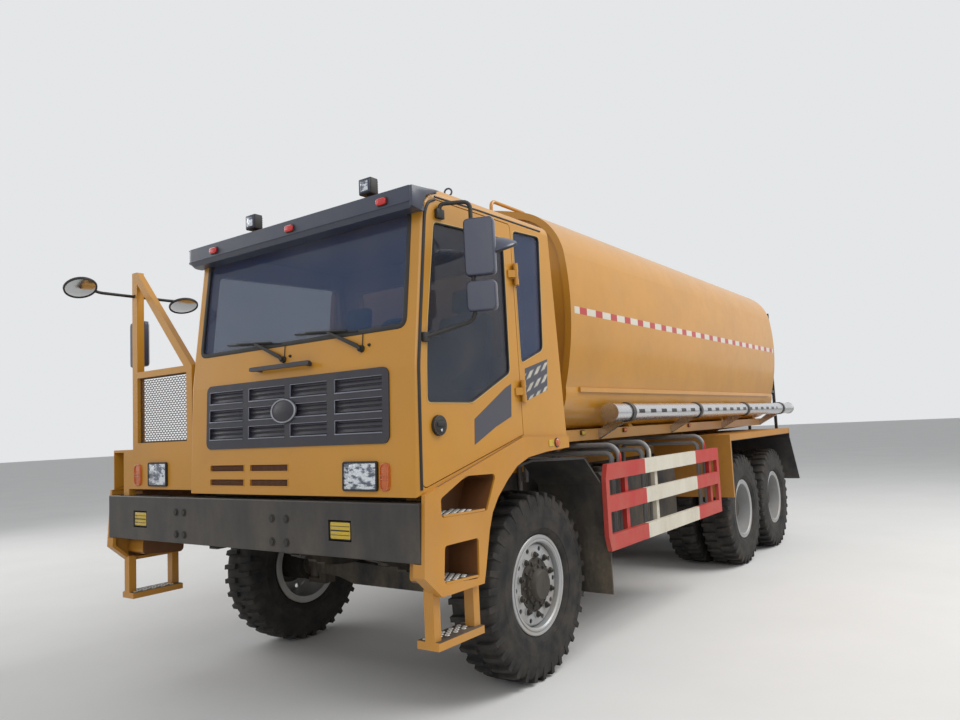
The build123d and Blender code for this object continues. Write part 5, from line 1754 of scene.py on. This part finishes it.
@dataclass
class Steps:
    """Perforated treads and their bright noses on the step panels."""

    panel_x: float = 1.677
    pitch: Pair = (0.045, 0.040)
    # Each tread: from and to across from the panel's skin and behind the bumper's face, and its top.
    treads: tuple[tuple[Pair, Pair, float], ...] = (
        ((-0.236, -0.004), (0.186, 0.600), -0.0985), ((-0.236, -0.004), (0.186, 0.500), -0.478),
        ((-0.177, -0.017), (0.130, 0.550), -0.7885))
    noses: tuple[tuple[Pair, ...], ...] = (
        ((0.190, -0.100), (0.600, -0.108), (0.600, -0.094), (0.190, -0.086)),
        ((0.190, -0.478), (0.500, -0.492), (0.500, -0.478), (0.190, -0.464)))

    def tread(self, x_range: Pair, y_range: Pair, z: float) -> Obj:
        """Return a tread plate with rows of raised round holes.

        Args:
            x_range: From and to across the truck.
            y_range: From and to behind the bumper's face.
            z: The height of its top over the bumper's top edge.

        Returns:
            The plate.
        """
        sheet = slab("tread", (x_range, y_range), (z - 0.003, z + 0.001), bevel=0.001)
        ring = added(bpy.ops.mesh.primitive_torus_add, "ring", major_segments=14, minor_segments=5,
                     major_radius=0.012, minor_radius=0.004)
        hole = added(bpy.ops.mesh.primitive_cylinder_add, "hole", vertices=14, radius=0.010, depth=0.002)
        model = assembled([(ring, Paint.DOTS), (hole, Paint.GASKET)], "holes")
        (left, right), (front, rear) = x_range, y_range
        across, along = self.pitch
        places = []
        for i in range(int((right - left - 0.03) / across)):
            for j in range(int((rear - front - 0.03) / along)):
                x = left + 0.030 + i * across + (0.022 if j % 2 else 0.0)
                if x < right - 0.015:
                    places.append(Matrix.Translation((x, front + 0.025 + j * along, z + 0.0015)))
        return joined([coat(sheet, Paint.TREADPLATE), repeated(model, places)], "tread")

    def build(self) -> None:
        """Build the left side's treads and noses, and mirror them."""
        x = self.panel_x
        parts = [placed(self.tread((x + low, x + high), y_range, z), FROM_ABOVE)
                 for (low, high), y_range, z in self.treads]
        noses = [panel("nose", outline, (x - 0.014, x + 0.001), 0.0, 0.002) for outline in self.noses]
        parts += [placed(coat(nose, Paint.STEP), LEFT_SIDE) for nose in noses]
        left = joined(parts, "step_treads_left")
        right = mirrored(left, "step_treads_right")
        dressed(left, "root", "bare_steel")
        dressed(right, "root", "bare_steel")


@dataclass
class Screen:
    """Expanded metal in the platform's frame, with the frame's edge strips."""

    x_range: Pair = (-1.290, -0.620)
    z_range: Pair = (0.410, 0.925)
    y_back: float = 0.074
    pitch_x: float = 0.040
    pitch_z: float = 0.0172

    def build(self) -> None:
        """Build the sheet from one slanted strand, copied over the opening."""
        strand = panel("expanded_metal", [
            (-0.0190, -0.0026), (0.0, 0.0070), (0.0190, -0.0026), (0.0190, 0.0026), (0.0, 0.0122),
            (-0.0190, 0.0026)], (-0.0022, 0.0022))
        (left, right), (low, high) = self.x_range, self.z_range
        places = []
        for row in range(int((high - low) / self.pitch_z)):
            for number in range(int((right - left) / self.pitch_x)):
                shift = self.pitch_x / 2 if row % 2 else 0.0
                x = left + 0.022 + number * self.pitch_x + shift
                if x < right - 0.018:
                    places.append(Matrix.Translation((x, low + 0.003 + row * self.pitch_z, -self.y_back)))
        rim = slab("rim", (self.x_range, self.z_range), around(-self.y_back, 0.003), inset=0.012)
        sheet = placed(joined([repeated(strand, places), rim], "expanded_metal"), UPRIGHT)
        dressed(coat(sheet, Paint.MESH), "root", "bare_steel", "screen_mesh")


@dataclass
class Mirrors:
    """The mirrors of both sides: bent arms with their feet, flat heads and round bowls."""

    turn: float = 20.0
    left_place: Pair = (1.858, 0.423)
    right_place: Pair = (-1.850, 0.390)
    rod: float = 0.013

    def flat(self, place: Pair, z_range: Pair, width: float, turn: float) -> Parts:
        """Return a flat mirror: its rounded shell, its rim and its glass facing rearwards.

        Args:
            place: Its middle across the truck and behind the bumper's face.
            z_range: Its foot and head over the bumper's top edge.
            width: How wide it is.
            turn: How far it is turned about its upright axis, in degrees.

        Returns:
            The mirror's parts.
        """
        shape = (around(0.0, width / 2), z_range)
        shell = slab("mirror_shell", shape, (-0.019, 0.030), 0.034, 0.010)
        lip = slab("lip", shape, (-0.023, -0.012), 0.034, 0.003, 0.010)
        glass = slab("glass", shape, (-0.0215, -0.017), 0.027, grow=-0.009)
        smooth(shell, 20)
        grip = (between(z_range, 0.40), between(z_range, 0.60))
        clamp = box("clamp", ((-0.045, 0.005), grip, (-0.030, -0.016)), 0.004)
        matrix = (Matrix.Translation(spot(place[0], place[1], 0.0)) @ Matrix.Rotation(radians(turn), 4, "Z")
                  @ columns((1, 0, 0), (0, 0, 1), (0, -1, 0), (0, 0, 0)))
        parts = [(shell, Paint.SHELL), (lip, Paint.BADGE), (glass, Paint.MIRROR), (clamp, Paint.GASKET)]
        return [(placed(obj, matrix), paint) for obj, paint in parts]

    def bowl(self, centre: Point, axis: Point, radius: float, height: float, back: Paint) -> Parts:
        """Return a round mirror: a domed back, a dark rim and a bowed glass on its flat side.

        Args:
            centre: The middle of its flat side.
            axis: The way its domed back stands out.
            radius: Half its width.
            height: How high its back is.
            back: The finish of its back.

        Returns:
            The mirror's parts.
        """
        dome = [(0.014 + height * (1 - share * share), radius * share)
                for share in (0.97, 0.88, 0.76, 0.6, 0.4, 0.2, 0.02)]
        shell = turned("bowl", [(0.0, radius - 0.006), (0.002, radius), (0.012, radius), *dome], 48, 40)
        inner = radius - 0.009
        ring = [(-0.005, inner), (-0.005, radius + 0.001), (0.008, radius + 0.003), (0.008, inner)]
        rim = turned("bowl_rim", [*ring, ring[0]], 48, 40)
        bow = [(0.0, radius - 0.007), (-0.005, radius * 0.7), (-0.008, radius * 0.35), (-0.009, 0.001)]
        glass = turned("bowl_glass", bow, 48, 60)
        matrix = Matrix.Translation(centre) @ Vector(axis).to_track_quat("X", "Z").to_matrix().to_4x4()
        return [(placed(obj, matrix), paint)
                for obj, paint in ((shell, back), (rim, Paint.GASKET), (glass, Paint.MIRROR))]

    def left(self) -> Obj:
        """Return the left arm with its feet, two flat heads and the bowl.

        Returns:
            The left side's mirrors.
        """
        arm = [(1.664, 0.290, 1.700), (1.664, 0.290, 1.772), (1.812, 0.405, 1.782), (1.812, 0.405, 1.050),
               (1.664, 0.110, 0.944)]
        stay = [(1.812, 0.405, 1.640), (1.836, 0.500, 1.640), (1.844, 0.560, 1.590)]
        origin = spot(0, 0, 0)
        parts = [tube("arm", [spot(*place) for place in arm], self.rod, 0.05, 12),
                 tube("stay", [spot(*place) for place in stay], 0.009, 0.03),
                 box("foot", ((1.650, 1.676), (0.255, 0.325), (1.680, 1.740)), 0.005, origin),
                 box("low_foot", ((1.650, 1.676), (0.085, 0.137), (0.915, 0.972)), 0.005, origin)]
        return assembled([
            (joined(parts, "arm"), Paint.GASKET),
            *self.flat(self.left_place, (1.317, 1.672), 0.190, self.turn),
            *self.flat(self.left_place, (1.100, 1.286), 0.185, self.turn),
            *self.bowl(spot(1.844, 0.575, 1.500), (0.0, -0.42, 1.0), 0.158, 0.062, Paint.SHELL)],
            "left_mirror_set")

    def right(self) -> Obj:
        """Return the right rod with its two bowls, and the arm with its flat head.

        Returns:
            The right side's mirrors.
        """
        rod = [(-1.345, -4.700, 3.110), (-1.330, -4.590, 3.050), (-1.325, -3.975, 3.050),
               (-1.340, -3.850, 3.060)]
        arm = [(-1.366, -4.245, 2.965), (-1.850, -3.940, 2.965), (-1.850, -3.940, 2.495)]
        parts = [tube("rod", rod, self.rod - 0.001, 0.05, 12), tube("arm", arm, self.rod, 0.06, 12)]
        return assembled([
            (joined(parts, "rod"), Paint.GASKET),
            *self.bowl((-1.325, -4.717, 3.068), (-0.50, 0.10, 0.86), 0.116, 0.040, Paint.BLACK),
            *self.bowl((-1.325, -3.845, 3.018), (-0.37, 0.10, 0.91), 0.116, 0.040, Paint.BLACK),
            *self.flat(self.right_place, (1.080, 1.480), 0.230, 0.0)], "right_mirror_set")

    def build(self) -> None:
        """Build both sides."""
        dressed(self.left(), "door_left", "black_paint", "mirrors_left")
        dressed(self.right(), "root", "black_paint", "mirrors_right")


@dataclass
class Visor:
    """The sun visor: a folded sheet with a rounded right corner and a cheek at each end."""

    left_x: float = 1.652
    right_x: float = -0.588
    round: float = 0.085
    front: float = 0.025
    fold_z: float = 1.738
    edge_z: float = 1.830
    sheet: float = 0.160

    def outline(self, inset: float = 0.0) -> list[Pair]:
        """Return the visor's front from above, drawn in by a distance.

        Args:
            inset: The distance.

        Returns:
            Its corners.
        """
        front, right = self.front + inset, self.right_x + inset
        arc = [(right + self.round + self.round * cos(radians(turn)),
                front + self.round + self.round * sin(radians(turn))) for turn in range(180, 271, 15)]
        return [(right, self.sheet), *arc, (self.left_x, front), (self.left_x, self.sheet)]

    def lip(self) -> Obj:
        """Return the lip under the fold, its lower edge drawn in.

        Returns:
            The lip.
        """
        lip = panel("lip", self.outline(), (self.fold_z - 0.034, self.fold_z))
        corners = list(zip(self.outline(), self.outline(0.024)))
        for vertex in lip.data.vertices:
            if vertex.co.z < self.fold_z - 0.01:
                x, y, _ = vertex.co
                _, drawn = min(corners, key=lambda pair: hypot(pair[0][0] - x, pair[0][1] - y))
                vertex.co.x, vertex.co.y = drawn
        return lip

    def build(self) -> None:
        """Build the front with its drawn-in lip, the sheet over it and the cheeks."""
        fold, edge = self.fold_z, self.edge_z
        face = panel("visor", self.outline(), (fold, edge + 0.002))
        bead = panel("bead", self.outline(-0.003), around(fold, 0.004), 0.0, 0.002)
        front = self.front + 0.004
        top = [(front, edge - 0.004), (front, edge + 0.001), (0.285, 1.850), (0.285, 1.838)]
        cheek = [(self.front, 1.705), (self.front, edge), (0.285, 1.850), (0.155, 1.795), (0.103, 1.692)]
        rear = [(0.110, 1.712), (0.110, 1.836), (0.285, 1.850), (0.155, 1.795), (0.116, 1.712)]
        parts = [placed(obj, FROM_ABOVE) for obj in (face, bead, self.lip())]
        parts += [placed(obj, LEFT_SIDE) for obj in (
            panel("top", top, (self.right_x + 0.045, self.left_x), 0.0, 0.002),
            panel("cheek", cheek, (self.left_x, self.left_x + 0.023), 0.0, 0.003),
            panel("cheek", rear, (self.right_x, self.right_x + 0.026), 0.0, 0.004))]
        for part in parts:
            smooth(part, 40)
        dressed(coat(joined(parts, "visor_sheet"), Paint.VISOR), "root", "black_paint", "sun_visor")


@dataclass
class TankTrim:
    """The manhole lid's bolts and the small lamps along the cradle."""

    lid_y: float = 5.2
    lid_ring: float = 0.262
    lid_top: float = 3.9745
    lamp_z: float = 0.315
    lamps: tuple[tuple[float, Paint], ...] = ((2.86, Paint.YELLOW), (3.75, Paint.AMBER), (5.56, Paint.AMBER))

    def build(self) -> None:
        """Build the tank's fittings."""
        turns = [2 * pi * number / 12 for number in range(12)]
        bolts = repeated(hexagon_bolt("lid_bolts", (0, 0, 0), (0, 0, 1), 0.024, 0.012), [
            Matrix.Translation((self.lid_ring * cos(turn), BUMPER_Y + self.lid_y + self.lid_ring * sin(turn),
                                self.lid_top)) for turn in turns])
        dressed(coat(bolts, Paint.BOLT), "manhole_lid", "body_paint")
        parts = []
        for y_back, paint in self.lamps:
            spread = (around(y_back, 0.040), around(self.lamp_z, 0.022))
            case = slab("case", spread, (1.180, 1.188), 0.008, 0.002)
            spread = (around(y_back, 0.034), around(self.lamp_z, 0.017))
            lens = slab("lens", spread, (1.188, 1.200), 0.008, 0.004)
            for obj, finish in ((case, Paint.GASKET), (lens, paint)):
                parts += [(placed(obj, LEFT_SIDE), finish), (mirrored(obj, "lamp"), finish)]
        dressed(assembled(parts, "cradle_lamps"), "root", "amber_lens")


@dataclass
class TubeTrim:
    """Clamp bands of the hose tubes."""

    x: float = 1.470
    z: float = 1.940
    radius: float = 0.080
    wide: float = 0.030
    thick: float = 0.011
    places: tuple[float, ...] = (3.200, 5.000, 6.800, 8.600)

    def band(self) -> Obj:
        """Return a band round the origin's Y axis, with its ear and bolt.

        Returns:
            The band.
        """
        wide, foot, top = self.wide, self.radius + 0.001, self.radius + self.thick
        ring = turned("band", [(-wide, foot), (-wide, top), (wide, top), (wide, foot), (-wide, foot)], 48)
        ear = box("ear", ((0.078, 0.112), (-wide * 0.8, wide * 0.8), (-0.012, 0.012)), 0.003)
        bolt = hexagon_bolt("bolt", (0.098, 0, 0.012), (0, 0, 1), 0.018, 0.010)
        return joined([placed(ring, Matrix.Rotation(pi / 2, 4, "Z")), ear, bolt], "tube_bands_left")

    def build(self) -> None:
        """Build the bands of both tubes."""
        turn = Matrix.Rotation(radians(150), 4, "Y")
        left = repeated(self.band(), [
            Matrix.Translation((self.x, BUMPER_Y + y_back, self.z)) @ turn for y_back in self.places])
        right = mirrored(left, "tube_bands_right")
        dressed(coat(left, Paint.BLACK), "root", "black_paint")
        dressed(coat(right, Paint.BLACK), "root", "black_paint")


@dataclass
class Seats:
    """The two seats: padded cushions and backs over their bases."""

    places: tuple[float, ...] = (1.100, -0.030)
    y_back: float = 1.080
    floor: float = 0.330

    def pad(self, name: str, spans: tuple[Pair, Pair, Pair], crown: float, origin: Point) -> Obj:
        """Return a crowned pad with pulled-in sides.

        Args:
            name: The piece's name.
            spans: From and to along X, Y and Z, seen from its origin.
            crown: How far its faces swell.
            origin: Where its origin is in the model.

        Returns:
            The pad.
        """
        obj = box(name, spans, origin=origin)
        with editing(obj):
            bpy.ops.mesh.subdivide(number_cuts=7)
        middle = [start + (low + high) / 2 for start, (low, high) in zip(origin, spans)]
        half = [(high - low) / 2 for low, high in spans]
        for vertex in obj.data.vertices:
            share = [(vertex.co[i] - middle[i]) / half[i] for i in range(3)]
            for i in range(3):
                first, second = (share[j] for j in range(3) if j != i)
                swell = (1 - first ** 2) * (1 - second ** 2)
                if abs(share[i]) > 0.99:
                    vertex.co[i] += (swell * crown - crown) * (1 if share[i] > 0 else -1)
        apply(obj, "SUBSURF", levels=1, render_levels=1)
        smooth(obj, 60)
        return obj

    def seat(self, x: float) -> list[Obj]:
        """Return the pads of one seat, which leans back.

        Args:
            x: Its middle across the truck.

        Returns:
            The pads.
        """
        y, floor = at(self.y_back, self.floor)
        spans = ((-0.250, 0.250), (-0.400, 0.100), (0.225, 0.350))
        cushion = self.pad("cushion", spans, 0.018, (x, y, floor))
        back = self.pad("backrest", ((-0.238, 0.238), (-0.055, 0.055), (0.0, 0.590)), 0.016, (x, 0, 0))
        head = self.pad("headrest", ((-0.128, 0.128), (-0.038, 0.038), (0.0, 0.185)), 0.012, (x, 0, 0))
        for pad, run, rise, lean in ((back, 0.075, 0.345, -12), (head, 0.200, 0.940, -8)):
            turn = Matrix.Rotation(radians(lean), 4, "X")
            placed(pad, Matrix.Translation((0, y + run, floor + rise)) @ turn)
        return [cushion, back, head]

    def base(self, x: float) -> list[Obj]:
        """Return the base, the slide and the headrest's posts of one seat.

        Args:
            x: The seat's middle across the truck.

        Returns:
            The parts.
        """
        y, floor = at(self.y_back, self.floor)
        parts = [box("base", ((-0.178, 0.178), (-0.255, 0.115), (-0.010, 0.150)), 0.01, (x, y, floor)),
                 box("slide", ((-0.200, 0.200), (-0.300, 0.120), (0.150, 0.222)), 0.012, (x, y, floor))]
        for post_x in (x - 0.07, x + 0.07):
            ends = [(post_x, y + 0.19, floor + 0.86), (post_x, y + 0.21, floor + 0.97)]
            parts.append(tube("post", ends, 0.007))
        return parts

    def build(self) -> None:
        """Build both seats with their bases."""
        pads = [pad for x in self.places for pad in self.seat(x)]
        base = joined([part for x in self.places for part in self.base(x)], "seat_bases")
        cloth = coat(joined(pads, "seat_pads"), Paint.CLOTH)
        dressed(cloth, "root", "seat_fabric", "seats")
        dressed(coat(base, Paint.CABIN), "root", "cab_plastic")


@dataclass
class FrontBolts:
    """Bolts of the bumper."""

    places: tuple[Pair, ...] = (
        (-0.70, -0.11), (-0.60, -0.11), (0.39, -0.12), (0.53, -0.12), (0.39, -0.27), (0.53, -0.27),
        (-0.70, -0.27), (-0.60, -0.27))

    def build(self) -> None:
        """Build the bolts."""
        bolts = repeated(hexagon_bolt("bumper_bolts", (0, 0, 0), (0, 0, 1), 0.042, 0.010),
                         [Matrix.Translation((*place, 0.0)) for place in self.places])
        dressed(coat(placed(bolts, UPRIGHT), Paint.HUB), "root", "black_paint")


# Carried nodes

NODES = {
    Paint.BODY: ("cab_front", "cab_roof", "cab_rear", "cab_side_left", "cab_side_right", "door_left",
                 "platform_right", "tank_beams", "tank_saddles"),
    Paint.CHASSIS: ("frame_rails", "cross_members", "frame_brackets", "cab_mounts", "rear_bar",
                    "engine_block", "driveline", "leaf_springs", "front_axle", "rear_axles",
                    "knuckle_left", "knuckle_right", "tie_rod", "cab_floor", "frame_tanks"),
    Paint.BLACK: ("bumper", "mirrors_left", "mirrors_right", "rear_ladder"),
    Paint.TANK: ("tank", "manhole_lid"), Paint.GUARD: ("side_guards",), Paint.TUBE: ("hose_tubes",),
    Paint.STEP: ("step_panels",), Paint.RUBBER: ("mudguards_front",), Paint.LINED: ("mudguards_rear",),
    Paint.GLASS: ("cab_glass",), Paint.SIDE_GLASS: ("door_glass",), Paint.VISOR: ("sun_visor",),
    Paint.GRILLE: ("grille",), Paint.GASKET: ("wipers",), Paint.CABIN: ("dashboard",),
    Paint.CLOTH: ("seats",), Paint.MESH: ("screen_mesh",), Paint.CHROME: ("headlamps",),
    Paint.AMBER: ("amber_lamps",), Paint.RED_LENS: ("red_lamps",),
}


def main() -> None:
    """Build the stage, give the carried nodes their finishes and add the pieces, in order."""
    logging.basicConfig(level=logging.INFO, format="%(name)s %(message)s")
    Stage().build()
    for paint, names in NODES.items():
        for name in names:
            coat(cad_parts[name], paint)
    for part in (Wheels(), Windscreen(), Grille(), FrontLamps(), DoorTrim(), Steps(), Screen(), Mirrors(),
                 Visor(), TankTrim(), TubeTrim(), Seats(), FrontBolts()):
        part.build()


if __name__ == "__main__":
    main()
